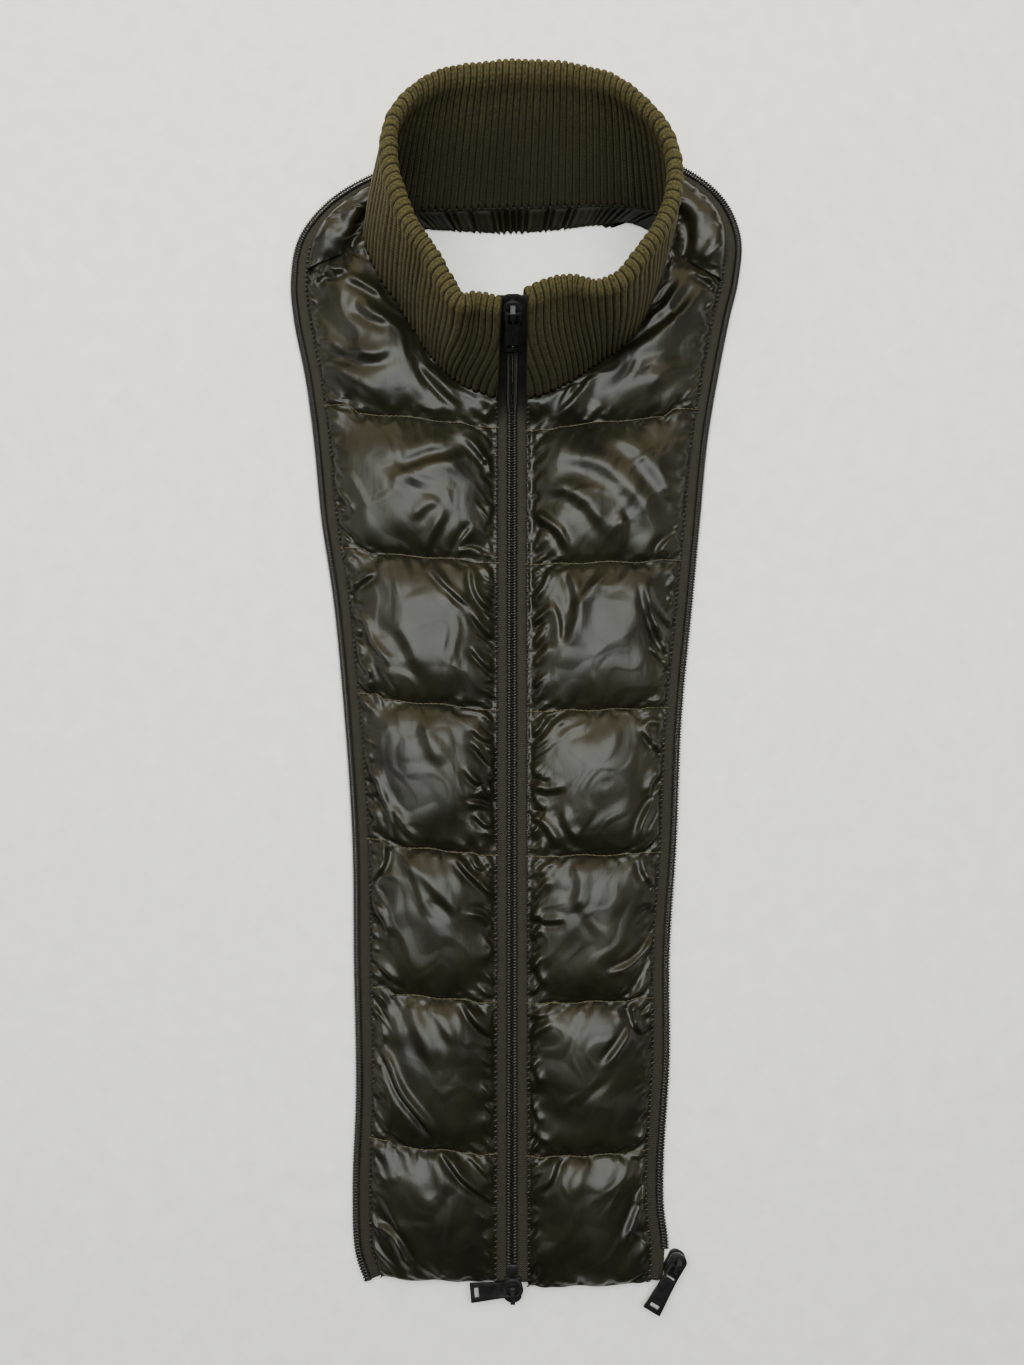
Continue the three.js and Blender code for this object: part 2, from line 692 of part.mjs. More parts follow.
const sunk = sliderTop - sliderPlate / 2;
const loopBridge = bridge([
  { x: -4.4, z: sunk },
  { x: -1.4, z: sunk },
  { x: -1.4, z: sliderTop + crownRoom },
  { x: 1.4, z: sliderTop + crownRoom },
  { x: 1.4, z: sunk },
  { x: 2.7, z: sunk },
  { x: 2.7, z: sliderTop + crownRoom + 0.5 },
  { x: 2, z: sliderTop + crownRoom + 1.2 },
  { x: -2.4, z: sliderTop + crownRoom + 1.2 },
]);
const ringRoom = tabThick + 2 * seamGap;
const ringBridge = bridge([
  { x: -6, z: sunk },
  { x: -4.7, z: sunk },
  { x: -4.7, z: sliderTop + ringRoom },
  { x: ringHinge.along - 1.2, z: sliderTop + ringRoom },
  { x: ringHinge.along - 1.2, z: sunk },
  { x: ringHinge.along + 1.4, z: sunk },
  { x: ringHinge.along + 1.4, z: sliderTop + ringRoom + 0.5 },
  { x: ringHinge.along + 0.6, z: sliderTop + ringRoom + 1.2 },
  { x: -5.4, z: sliderTop + ringRoom + 1.2 },
  { x: -6, z: sliderTop + ringRoom + 0.5 },
]);

// Pull tabs, hinge at the local origin, pointing along x, with a long slot near the free end

function slotHole(x0, x1, half) {
  return new THREE.Path([
    new THREE.Vector2(x0, -half),
    new THREE.Vector2(x0, half),
    new THREE.Vector2(x1, half),
    new THREE.Vector2(x1, -half),
  ]);
}

function extrudeTab(shape) {
  const tab = new THREE.ExtrudeGeometry(shape, { depth: tabThick, bevelEnabled: false, curveSegments: 6 });
  tab.translate(0, 0, -tabThick / 2);
  return tab;
}

const tab = { reach: 25.5, neckHalf: 3.6, farHalf: 4.7, slotFrom: 21.2, slotTo: 23.4, slotHalf: 2.5 };

function loopTab() {
  const back = -barLong / 2;
  const shape = new THREE.Shape();
  shape.moveTo(back, -tab.neckHalf + 1);
  shape.quadraticCurveTo(back, -tab.neckHalf, back + 1, -tab.neckHalf);
  shape.lineTo(8, -tab.neckHalf);
  shape.lineTo(tab.reach, -tab.farHalf);
  shape.lineTo(tab.reach, tab.farHalf);
  shape.lineTo(8, tab.neckHalf);
  shape.lineTo(back + 1, tab.neckHalf);
  shape.quadraticCurveTo(back, tab.neckHalf, back, tab.neckHalf - 1);
  shape.holes.push(slotHole(barLong / 2, 6.8, 2.4), slotHole(tab.slotFrom, tab.slotTo, tab.slotHalf));
  return extrudeTab(shape);
}

function ringTab() {
  const reach = tab.reach - 4;
  const join = Math.asin(tab.neckHalf / ringOuter);
  const shape = new THREE.Shape();
  shape.absarc(0, 0, ringOuter, join, 2 * Math.PI - join, false);
  shape.lineTo(reach, -tab.farHalf);
  shape.lineTo(reach, tab.farHalf);
  const hole = new THREE.Path();
  hole.absarc(0, 0, ringInner, 0, 2 * Math.PI, true);
  shape.holes.push(hole, slotHole(tab.slotFrom - 4, tab.slotTo - 4, tab.slotHalf));
  return extrudeTab(shape);
}

// Basis with x along the slider to its chain end and z out of the garment
function sliderFrame(origin, along, outward) {
  const across = new THREE.Vector3().crossVectors(outward, along);
  return new THREE.Matrix4().makeBasis(along, across, outward).setPosition(origin);
}

function place(geometry, frame) {
  return geometry.applyMatrix4(frame);
}

const upCollar = new THREE.Vector3(0, Math.sin(collarLean), Math.cos(collarLean));
const outOfCollar = new THREE.Vector3(0, -Math.cos(collarLean), Math.sin(collarLean));
const topOrigin = new THREE.Vector3(sliderMiddle.x, sliderMiddle.y, sliderMiddle.z)
  .addScaledVector(outOfCollar, -zipMid);
const topFrame = sliderFrame(topOrigin, upCollar.clone().negate(), outOfCollar);
const up = new THREE.Vector3(0, 0, 1);
const bottomFrame = sliderFrame(new THREE.Vector3(0.4, -2.2, 0), new THREE.Vector3(0, 1, 0), up);
const edgeTurn = THREE.MathUtils.degToRad(240);
const edgeAlong = new THREE.Vector3(Math.cos(edgeTurn), Math.sin(edgeTurn), 0);
const edgeFrame = sliderFrame(new THREE.Vector3(83.2, 9.6, 0), edgeAlong, up);

const loopPose = new THREE.Matrix4().makeTranslation(0, 0, loopHinge)
  .multiply(new THREE.Matrix4().makeRotationY(tabDroop));
const ringPose = new THREE.Matrix4().makeTranslation(ringHinge.along, 0, ringHinge.up)
  .multiply(new THREE.Matrix4().makeRotationZ(THREE.MathUtils.degToRad(95)));

const hardware = [
  { at: "top", frame: topFrame, crown: loopBridge, pull: loopTab, pose: loopPose },
  { at: "bottom", frame: bottomFrame, crown: ringBridge, pull: ringTab, pose: ringPose },
  { at: "edge", frame: edgeFrame, crown: loopBridge, pull: loopTab, pose: loopPose },
];
for (const { at, frame, crown, pull, pose } of hardware) {
  addPiece(`slider_${at}`, place(fromManifold(sliderBody([crown.clone()])), frame), "metal");
  addPiece(`tab_${at}`, place(pull(), frame.clone().multiply(pose)), "metal");
}

// Stand the part on its origin: bottom centre of the whole box
const box = new THREE.Box3().setFromObject(garment);
const centre = box.getCenter(new THREE.Vector3());
garment.position.set(-centre.x, -centre.y, -box.min.z);
garment.updateMatrixWorld(true);

export default garment;
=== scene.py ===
import json
import math

import bmesh
import bpy
import numpy as np
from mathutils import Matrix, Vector

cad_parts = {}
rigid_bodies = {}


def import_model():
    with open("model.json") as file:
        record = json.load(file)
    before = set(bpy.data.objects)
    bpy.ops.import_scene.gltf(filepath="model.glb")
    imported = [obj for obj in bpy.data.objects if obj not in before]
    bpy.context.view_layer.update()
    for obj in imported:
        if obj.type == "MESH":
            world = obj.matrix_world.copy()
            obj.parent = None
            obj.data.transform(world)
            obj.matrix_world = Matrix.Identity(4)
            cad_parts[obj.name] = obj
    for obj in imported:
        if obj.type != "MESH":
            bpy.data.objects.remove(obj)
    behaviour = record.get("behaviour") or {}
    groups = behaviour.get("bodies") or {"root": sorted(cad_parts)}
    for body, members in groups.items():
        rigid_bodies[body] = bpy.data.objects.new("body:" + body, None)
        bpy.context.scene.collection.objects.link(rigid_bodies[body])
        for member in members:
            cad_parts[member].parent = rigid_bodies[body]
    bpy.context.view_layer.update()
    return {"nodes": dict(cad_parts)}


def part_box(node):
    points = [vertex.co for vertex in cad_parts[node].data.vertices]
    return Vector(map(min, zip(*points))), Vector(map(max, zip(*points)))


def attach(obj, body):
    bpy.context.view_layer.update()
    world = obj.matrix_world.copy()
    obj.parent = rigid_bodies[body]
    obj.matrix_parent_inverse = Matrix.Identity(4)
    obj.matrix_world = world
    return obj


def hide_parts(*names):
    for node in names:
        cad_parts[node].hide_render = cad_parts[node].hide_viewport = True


for leftover in list(bpy.data.objects):
    bpy.data.objects.remove(leftover)

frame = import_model()
scene = bpy.context.scene

# Tables and sizes are in garment millimetres: x = 0 on the centre zip, y = 0 at the hem, z up from the floor.
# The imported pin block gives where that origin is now.
mm = 0.001
pinFoot = 4.1
pinLow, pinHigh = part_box("pin_block")
origin = Vector(((pinLow.x + pinHigh.x) / 2, pinLow.y - pinFoot * mm, 0))
fullTurn = 2 * math.pi


def inRow(points):
    return np.asarray(points, float) * mm + np.array(origin)


def added(name, data):
    made = bpy.data.objects.new(name, data)
    scene.collection.objects.link(made)
    return made


def setAll(thing, settings):
    for key, value in settings.items():
        setattr(thing, key, value)


# Camera and lights

camera = {"place": (0, 260, 549), "tilt": 4.9,
          "lens": {"sensor_fit": "VERTICAL", "sensor_height": 36, "lens": 27.03, "clip_start": 0.01}}
lamps = {
    "overhead": {"place": (-40, 630, 1300), "aim": (-40, 600, 0), "size": (1.5, 1.0), "watts": 35,
                 "tint": (0.96, 1.0, 0.97)},
    "neckSide": {"place": (-60, 1270, 740), "aim": (0, 300, 0), "size": (2.0, 1.1), "watts": 11,
                 "tint": (1.0, 0.81, 0.47)},
    "leftFill": {"place": (-1100, 350, 800), "aim": (0, 300, 0), "size": (0.9, 1.6), "watts": 5,
                 "tint": (1.0, 0.97, 0.92)},
    "rightFill": {"place": (1100, 350, 700), "aim": (0, 250, 0), "size": (0.9, 1.6), "watts": 2.8,
                  "tint": (1.0, 0.95, 0.85)},
}
room = {"tint": (0.62, 0.62, 0.6), "strength": 0.09}


def addCamera():
    data = bpy.data.cameras.new("camera")
    setAll(data, camera["lens"])
    seen = added("camera", data)
    seen.location = inRow(camera["place"])
    seen.rotation_euler = (math.radians(camera["tilt"]), 0, 0)
    scene.camera = seen


def addLamps():
    for name, lamp in lamps.items():
        data = bpy.data.lights.new(name, "AREA")
        wide, tall = lamp["size"]
        setAll(data, {"shape": "RECTANGLE", "size": wide, "size_y": tall, "energy": lamp["watts"],
                      "color": lamp["tint"]})
        holder = added(name, data)
        holder.location = inRow(lamp["place"])
        aim = Vector(inRow(lamp["aim"]))
        holder.rotation_euler = (aim - holder.location).to_track_quat("-Z", "Y").to_euler()
    world = bpy.data.worlds.new("room")
    world.use_nodes = True
    background = world.node_tree.nodes["Background"].inputs
    background["Color"].default_value = (*room["tint"], 1)
    background["Strength"].default_value = room["strength"]
    scene.world = world


addCamera()
addLamps()
print("camera and lights are up")

# Materials


def feed(tree, socket, value):
    if isinstance(value, bpy.types.NodeSocket):
        tree.links.new(value, socket)
    else:
        socket.default_value = value


def addNode(tree, kind, inputs, **settings):
    # an input is another node's output, or a plain value
    node = tree.nodes.new(kind)
    setAll(node, settings)
    for key, value in inputs.items():
        feed(tree, node.inputs[key], value)
    return node


class Look:
    # a material, with a short call for each kind of node that it needs

    def __init__(self, name):
        self.material = bpy.data.materials.new(name)
        self.material.use_nodes = True
        self.tree = self.material.node_tree
        self.shader = self.tree.nodes["Principled BSDF"]
        coordinates = addNode(self.tree, "ShaderNodeTexCoord", {})
        self.at = coordinates.outputs["Object"]
        self.drawnAt = coordinates.outputs["UV"]

    def maths(self, operation, *values):
        return addNode(self.tree, "ShaderNodeMath", dict(enumerate(values)), operation=operation).outputs[0]

    def noise(self, scale, detail=2.0, stretch=(1, 1, 1)):
        mapping = addNode(self.tree, "ShaderNodeMapping", {"Vector": self.at, "Scale": stretch})
        inputs = {"Vector": mapping.outputs[0], "Scale": scale, "Detail": detail}
        return addNode(self.tree, "ShaderNodeTexNoise", inputs).outputs[0]

    def spread(self, value, low, high, fromLow=0.3, fromHigh=0.7):
        inputs = {"Value": value, "From Min": fromLow, "From Max": fromHigh, "To Min": low, "To Max": high}
        return addNode(self.tree, "ShaderNodeMapRange", inputs).outputs[0]

    def blend(self, share, first, second):
        first, second = ((*colour, 1) if isinstance(colour, tuple) else colour for colour in (first, second))
        inputs = {"Factor": share, 6: first, 7: second}
        return addNode(self.tree, "ShaderNodeMix", inputs, data_type="RGBA").outputs[2]

    def bump(self, height, distance, strength, under=None):
        inputs = {"Height": height, "Distance": distance, "Strength": strength}
        if under is not None:
            inputs["Normal"] = under
        return addNode(self.tree, "ShaderNodeBump", inputs).outputs[0]

    def split(self, vector):
        return addNode(self.tree, "ShaderNodeSeparateXYZ", {0: vector}).outputs

    def attribute(self, name):
        return addNode(self.tree, "ShaderNodeAttribute", {}, attribute_name=name).outputs["Fac"]

    def finished(self, inputs):
        for key, value in inputs.items():
            feed(self.tree, self.shader.inputs[key], value)
        return self.material


nylonLook = {"dark": (0.0046, 0.0045, 0.0024), "light": (0.0134, 0.0127, 0.006), "rough": (0.34, 0.45),
             "crinkle": 0.3 * mm, "weave": 0.02 * mm, "coatRough": 0.22}


def nylonShell(name, shine, coat):
    look = Look(name)
    crinkle = nylonLook["crinkle"]
    drawn = look.bump(look.noise(95, 2, (3.4, 0.55, 1)), crinkle, 0.55)
    lumps = look.bump(look.noise(150, 3), crinkle, 0.2, drawn)
    fine = look.bump(look.noise(330, 3, (2.2, 0.8, 1)), crinkle * 0.4, 0.3, lumps)
    return look.finished({
        "Base Color": look.blend(look.spread(look.noise(42, 3), 0, 1), nylonLook["dark"], nylonLook["light"]),
        "Roughness": look.spread(look.noise(70, 3), *nylonLook["rough"]),
        "Normal": look.bump(look.noise(2600, 1), nylonLook["weave"], 0.5, fine),
        "Specular IOR Level": shine, "Coat Weight": coat, "Coat Roughness": nylonLook["coatRough"],
    })


# in ribLook, rim is painted light on the collar's top, foot is painted shade low on the inside wall, and groove is
# painted shade in the grooves and partings of the ribs
ribLook = {"rim": (0.060, 0.051, 0.0175), "wall": (0.036, 0.0325, 0.014), "lining": (0.036, 0.0325, 0.012),
           "foot": (0.013, 0.0112, 0.0048), "fleck": (0.014, 0.012, 0.0055), "groove": (0.003, 0.0027, 0.0015),
           "stitchLong": 1.9, "sheenTint": (0.5, 0.42, 0.22, 1)}


def ribKnit():
    look = Look("rib_knit")
    maths, blend, spread, noise = look.maths, look.blend, look.spread, look.noise
    across, along, _ = look.split(look.drawnAt)  # ribs counted across, millimetres along
    rise, inside = look.attribute("rise"), look.attribute("inside")
    # painted shade: the inside wall darkens towards its foot, along a noisy edge, where the collar shades it
    uneven = maths("ADD", rise, maths("MULTIPLY", noise(26), 0.9))
    lining = blend(spread(uneven, 0, 1, 0.55, 1.15), ribLook["foot"], ribLook["lining"])
    plain = blend(inside, ribLook["wall"], lining)
    # painted light: lighter towards the rim, on the collar's top
    body = blend(spread(rise, 0, 1, 0.6, 1.0), plain, ribLook["rim"])
    mottled = blend(spread(noise(750, 3, (1, 1, 0.4)), 0, 0.75, 0.4, 0.7), body, ribLook["fleck"])
    fromMiddle = maths("MULTIPLY", maths("ABSOLUTE", maths("SUBTRACT", maths("FRACT", across), 0.5)), 2.0)
    # painted shade in the groove between ribs
    groove = spread(fromMiddle, 0, 1, 0.66, 0.95)
    # a thinner line of painted shade parts the two columns of each rib, plainest on the stretched inner wall
    partingShade = maths("MULTIPLY", spread(fromMiddle, 1, 0, 0.04, 0.2), spread(inside, 0.3, 0.6, 0, 1))
    # two columns of stitches a rib, each stitch a small v
    fromColumn = maths("SUBTRACT", maths("FRACT", maths("MULTIPLY", across, 2.0)), 0.5)
    rows = maths("DIVIDE", along, ribLook["stitchLong"])
    stitchAt = maths("ADD", rows, maths("MULTIPLY", maths("ABSOLUTE", fromColumn), 1.3))
    wave = maths("SINE", maths("MULTIPLY", stitchAt, fullTurn))
    columns = maths("COSINE", maths("MULTIPLY", fromColumn, math.pi))
    knit = look.bump(maths("ADD", maths("MULTIPLY", wave, 0.35), columns), 0.32 * mm, 0.8)
    return look.finished({
        "Base Color": blend(maths("MAXIMUM", groove, partingShade), mottled, ribLook["groove"]),
        "Roughness": spread(noise(500), 0.85, 1.0), "Normal": look.bump(noise(1500, 3), 0.25 * mm, 0.5, knit),
        "Sheen Weight": 0.12, "Sheen Roughness": 0.6, "Sheen Tint": ribLook["sheenTint"],
        "Specular IOR Level": 0.2,
    })


# the darkest colour here is painted shade where the tape rises between the collar's ribs
tapeLook = {"groove": (0.006, 0.0056, 0.004), "thread": (0.04, 0.0365, 0.027), "worn": (0.018, 0.0165, 0.0122),
            "collarShade": (0.004, 0.0038, 0.0034), "turnBack": 0.8, "rib": 1.15}


def zipTape():
    look = Look("zip_tape_weave")
    across, along, _ = look.split(look.drawnAt)
    # herringbone: the twill turns back on itself twice the turnBack across
    turn = look.maths("PINGPONG", across, tapeLook["turnBack"])
    twill = look.maths("SINE", look.maths("MULTIPLY", look.maths("ADD", along, turn), fullTurn / tapeLook["rib"]))
    colour = look.blend(look.spread(twill, 0, 1, -1, 1), tapeLook["groove"], tapeLook["thread"])
    worn = look.blend(look.spread(look.noise(220, 3), 0, 0.4), colour, tapeLook["worn"])
    # painted shade: the tape darkens as it rises between the collar's ribs
    collarShade = look.spread(look.split(look.at)[2], 0, 0.85, 8 * mm, 22 * mm)  # darker up the collar
    raised = look.bump(twill, 0.12 * mm, 0.8)
    return look.finished({
        "Base Color": look.blend(collarShade, worn, tapeLook["collarShade"]),
        "Roughness": look.spread(look.noise(300), 0.72, 0.9),
        "Normal": look.bump(look.noise(1800), 0.1 * mm, 0.4, raised),
        "Sheen Weight": 0.03, "Specular IOR Level": 0.2,
    })


def speckled(name, dark, light, rough, scale, metal=0.0, coat=0.0, shine=0.5):
    look = Look(name)
    return look.finished({
        "Base Color": look.blend(look.spread(look.noise(scale, 3), 0, 1), dark, light),
        "Roughness": look.spread(look.noise(scale * 0.7), *rough),
        "Normal": look.bump(look.noise(scale * 4), 0.05 * mm, 0.4),
        "Metallic": metal, "Coat Weight": coat, "Specular IOR Level": shine, "Coat Roughness": 0.24,
    })


nylon = nylonShell("nylon_shell", 0.26, 0.14)
# a copy of the nylon with weaker shine and coat, painted shade on the neck band under the collar
shadedNylon = nylonShell("nylon_neck_band_shade", 0.13, 0.04)
rib = ribKnit()
tape = zipTape()
coil = speckled("zip_coil_nylon", (0.004, 0.0039, 0.0036), (0.016, 0.015, 0.0135), (0.16, 0.26), 700)
cord = speckled("filler_cord", (0.002, 0.002, 0.0018), (0.006, 0.0055, 0.005), (0.7, 0.85), 1200)
enamel = speckled("black_enamel", (0.006, 0.006, 0.007), (0.014, 0.014, 0.015), (0.3, 0.46), 350, 0.15, 0.06, 0.26)
ochreThread = speckled("seam_thread", (0.034, 0.028, 0.011), (0.074, 0.06, 0.025), (0.55, 0.75), 900)
darkThread = speckled("edge_thread", (0.005, 0.005, 0.004), (0.016, 0.015, 0.011), (0.35, 0.5), 900)
print("materials are made")

# Plan curves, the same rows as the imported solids

edgeRows = [
    (-75.5, 0.8), (-80.5, 15), (-82.3, 45), (-81.3, 95), (-83.3, 160), (-85, 223), (-90, 287), (-97, 352),
    (-104, 395), (-109, 440), (-114, 474), (-121, 508), (-123, 530), (-119, 555), (-102, 577.5), (-72, 595.5),
    (-32, 608), (10, 612), (52, 609), (90, 599.5), (117, 580), (127.5, 556), (126, 531), (120.5, 508),
    (113.5, 474), (107.5, 440), (102.6, 395), (98, 352), (91, 287), (87.5, 223), (83, 165), (82.2, 110),
    (78.6, 62), (78.2, 38), (80.3, 18), (79, 1),
]
# height of each quilting seam beside the zip and at the outer edge, left then right
seamRows = [
    (2.4, 4, -0.4, 1.8), (64.3, 72.1, 63.2, 66.4), (140.3, 148, 139.8, 142.6), (215.6, 224.1, 215, 217.2),
    (291.9, 300.8, 291, 293.3), (371, 379.2, 370, 372.4), (445.6, 458.3, 443.8, 456), (None, 534, None, 528),
]
# collar wall at the base, at the rim, and how high the rim is
collarRows = [
    (-8.8, 461.3, -6.4, 484.6, 76), (-23.5, 467, -17.3, 486.9, 77), (-32.3, 473.2, -24, 486, 76.5),
    (-42.2, 484, -31, 496.5, 75.5), (-50.2, 496.6, -38.5, 510.5, 76), (-59.6, 512.2, -47.6, 523, 76.5),
    (-68.7, 525, -54.1, 539.3, 77), (-75.8, 540, -58.2, 557, 77), (-78.5, 553, -57.5, 574, 77.5),
    (-70, 563, -50, 587.5, 78), (-53, 566.4, -38, 596.5, 78), (-30, 567.4, -20, 601.3, 78),
    (0, 568.2, 4, 603, 78.5), (30, 569.2, 28, 601.5, 78), (56, 569.8, 48, 595.8, 78), (77, 566.6, 63, 585, 77.5),
    (86, 556, 73, 571, 77), (83, 542.6, 78.4, 553.5, 76), (79.5, 531.3, 77.5, 538, 75.5),
    (74.7, 517, 71.3, 523.6, 76), (67.4, 500.6, 61.2, 509, 76.5), (57.2, 488.9, 50.5, 496.5, 76),
    (46.4, 481.2, 40, 493, 76.5), (32.4, 471.4, 28, 496, 76), (19, 464, 16.5, 493.6, 76.5),
    (8.8, 461.3, 7.6, 489, 76),
]
zipMiddle = 2.9
stripHalf = 8.1
zipTop = 463.8
seatHeight = 12.8
fabricInset = 9.4
neckInset = 2.6
lowest = 1.2  # no fold brings the top cloth nearer the floor
shoulders = {"left": (-78, 550), "right": (84, 546)}


def smoothLine(rows, steps=24):
    points = np.array(rows, float)
    points = np.vstack([2 * points[0] - points[1], points, 2 * points[-1] - points[-2]])
    line = []
    for before, start, end, after in zip(points, points[1:], points[2:], points[3:]):
        first, middle, last = [max(np.linalg.norm((b - a)[:2]) ** 0.5, 1e-4) for a, b in
                               ((before, start), (start, end), (end, after))]
        leave = ((start - before) / first - (end - before) / (first + middle) + (end - start) / middle) * middle
        arrive = ((end - start) / middle - (after - start) / (middle + last) + (after - end) / last) * middle
        for step in range(steps):
            t = step / steps
            line.append(start + leave * t + (3 * (end - start) - 2 * leave - arrive) * t * t
                        + (2 * (start - end) + leave + arrive) * t ** 3)
    line.append(points[-2])
    return np.array(line)


def lengthsAlong(line):
    return np.concatenate([[0], np.cumsum(np.linalg.norm(np.diff(line[:, :2], axis=0), axis=1))])


def pointsAt(line, distances):
    sums = lengthsAlong(line)
    return np.stack([np.interp(distances, sums, line[:, k]) for k in range(line.shape[1])], 1)


def evenly(line, count):
    return pointsAt(line, np.linspace(0, lengthsAlong(line)[-1], count))


def movedRight(line, distance):
    along = np.gradient(line[:, :2], axis=0)
    along /= np.linalg.norm(along, axis=1)[:, None]
    moved = line.copy()
    moved[:, 0] += along[:, 1] * distance
    moved[:, 1] -= along[:, 0] * distance
    return moved


def stretches(line, points):
    # for each stretch of a line: its span, the share of it that each point lies at, and the way from there to the point
    for start, end in zip(line[:-1], line[1:]):
        span = end - start
        share = np.clip((points - start) @ span / max(span @ span, 1e-9), 0, 1)
        yield span, share, points - start - share[:, None] * span


def besideLine(line, points):
    # distance from a line, more than 0 on its right, and the share of the way along it
    best = np.full(len(points), 1e9)
    side = np.zeros(len(points))
    along = np.zeros(len(points))
    sums = lengthsAlong(line)
    for (span, share, off), low, high in zip(stretches(line, points), sums[:-1], sums[1:]):
        away = np.linalg.norm(off, axis=1)
        nearer = away < best
        best = np.where(nearer, away, best)
        side = np.where(nearer, np.sign(off[:, 0] * span[1] - off[:, 1] * span[0]), side)
        along = np.where(nearer, (low + (high - low) * share) / sums[-1], along)
    return best * side, along


def distanceTo(line, points):
    best = np.full(len(points), 1e9)
    for _, _, off in stretches(line, points):
        best = np.minimum(best, np.linalg.norm(off, axis=1))
    return best


def nearestOn(line, point):
    return int(np.argmin(np.linalg.norm(line[:, :2] - np.array(point), axis=1)))


edgeLine = evenly(smoothLine(edgeRows), 1201)
fabricLine = movedRight(edgeLine, fabricInset)
neckLine = movedRight(evenly(smoothLine([row[:2] for row in collarRows]), 481), neckInset)
neckLeft = nearestOn(neckLine, shoulders["left"])
neckRight = nearestOn(neckLine, shoulders["right"])


def smoothStep(value, low, high):
    t = np.clip((value - low) / (high - low), 0, 1)
    return t * t * (3 - 2 * t)


def ripples(points, size, seed, waves=14):  # gentle uneven lumps of about one size
    chance = np.random.default_rng(seed)
    total = np.zeros(len(points))
    for _ in range(waves):
        angle = chance.uniform(0, fullTurn)
        length = size * chance.uniform(0.7, 1.6)
        phase = chance.uniform(0, fullTurn)
        total += np.sin(fullTurn * (points[:, 0] * math.cos(angle) + points[:, 1] * math.sin(angle)) / length + phase)
    return total / math.sqrt(waves)


def crumples(points, size, seed):  # creases round patches of about one size, lowest in the middle of a patch
    chance = np.random.default_rng(seed)
    low, high = points.min(0) - size, points.max(0) + size
    counts = np.ceil((high - low) / size).astype(int)
    across, along = np.meshgrid(*[np.arange(count) for count in counts])
    middles = low + (np.column_stack([across.ravel(), along.ravel()]) + chance.uniform(0, 1, (across.size, 2))) * size
    nearest = np.full(len(points), 1e9)
    for middle in middles:
        nearest = np.minimum(nearest, ((points - middle) ** 2).sum(1))
    return np.sqrt(nearest / size ** 2 + 0.03)


def mixed(make, points, rows, turn=0):
    # lumps or creases of a few sizes: the share, size and seed of each
    return sum(share * make(points, size, seed + turn) for share, size, seed in rows)


def gridFaces(rows, columns):
    return [(i * columns + j, i * columns + j + 1, (i + 1) * columns + j + 1, (i + 1) * columns + j)
            for i in range(rows - 1) for j in range(columns - 1)]


def smoothed(thing):
    thing.data.polygons.foreach_set("use_smooth", [True] * len(thing.data.polygons))


def meshObject(name, points, faces, material, coordinates=None):
    # a closed body whose faces point outwards
    mesh = bpy.data.meshes.new(name)
    mesh.from_pydata(inRow(points).tolist(), [], faces)
    mesh.update()
    if coordinates is not None:
        layer = mesh.uv_layers.new(name="UVMap")
        corners = np.zeros(len(mesh.loops), np.int32)
        mesh.loops.foreach_get("vertex_index", corners)
        layer.data.foreach_set("uv", np.asarray(coordinates, np.float32)[corners].ravel())
    mesh.materials.append(material)
    made = added(name, mesh)
    smoothed(made)
    outward(made)
    return made


def outward(thing, plain=False):
    # turns the faces outwards, and can first merge doubled points and flat neighbouring faces
    shape = bmesh.new()
    shape.from_mesh(thing.data)
    if plain:
        bmesh.ops.remove_doubles(shape, verts=shape.verts, dist=0.01 * mm)
        bmesh.ops.dissolve_limit(shape, angle_limit=math.radians(3), verts=shape.verts, edges=shape.edges)
    bmesh.ops.recalc_face_normals(shape, faces=shape.faces)
    shape.to_mesh(thing.data)
    shape.free()
    thing.data.update()


def applied(thing):  # the evaluated mesh in place of the modifiers
    bpy.context.view_layer.update()
    graph = bpy.context.evaluated_depsgraph_get()
    mesh = bpy.data.meshes.new_from_object(thing.evaluated_get(graph), preserve_all_data_layers=True, depsgraph=graph)
    thing.modifiers.clear()
    thing.data = mesh
    smoothed(thing)


# Padded nylon: a sheet of cloth sewn down at its seams and edges, blown up by its filling

padCloth = {
    "scale": 20, "frames": 26, "cap": 17, "calm": 0.3,
    "rules": {"quality": 6, "mass": 0.3, "tension_stiffness": 15, "compression_stiffness": 15, "shear_stiffness": 5,
              "bending_stiffness": 0.12, "vertex_group_mass": "sewn", "pin_stiffness": 50, "use_pressure": True,
              "uniform_pressure_force": 0.9, "vertex_group_shrink": "slack", "shrink_min": -0.05, "shrink_max": -0.15},
}


def neighbours(grid):
    return (grid[2:, 1:-1] + grid[:-2, 1:-1] + grid[1:-1, 2:] + grid[1:-1, :-2]) / 4


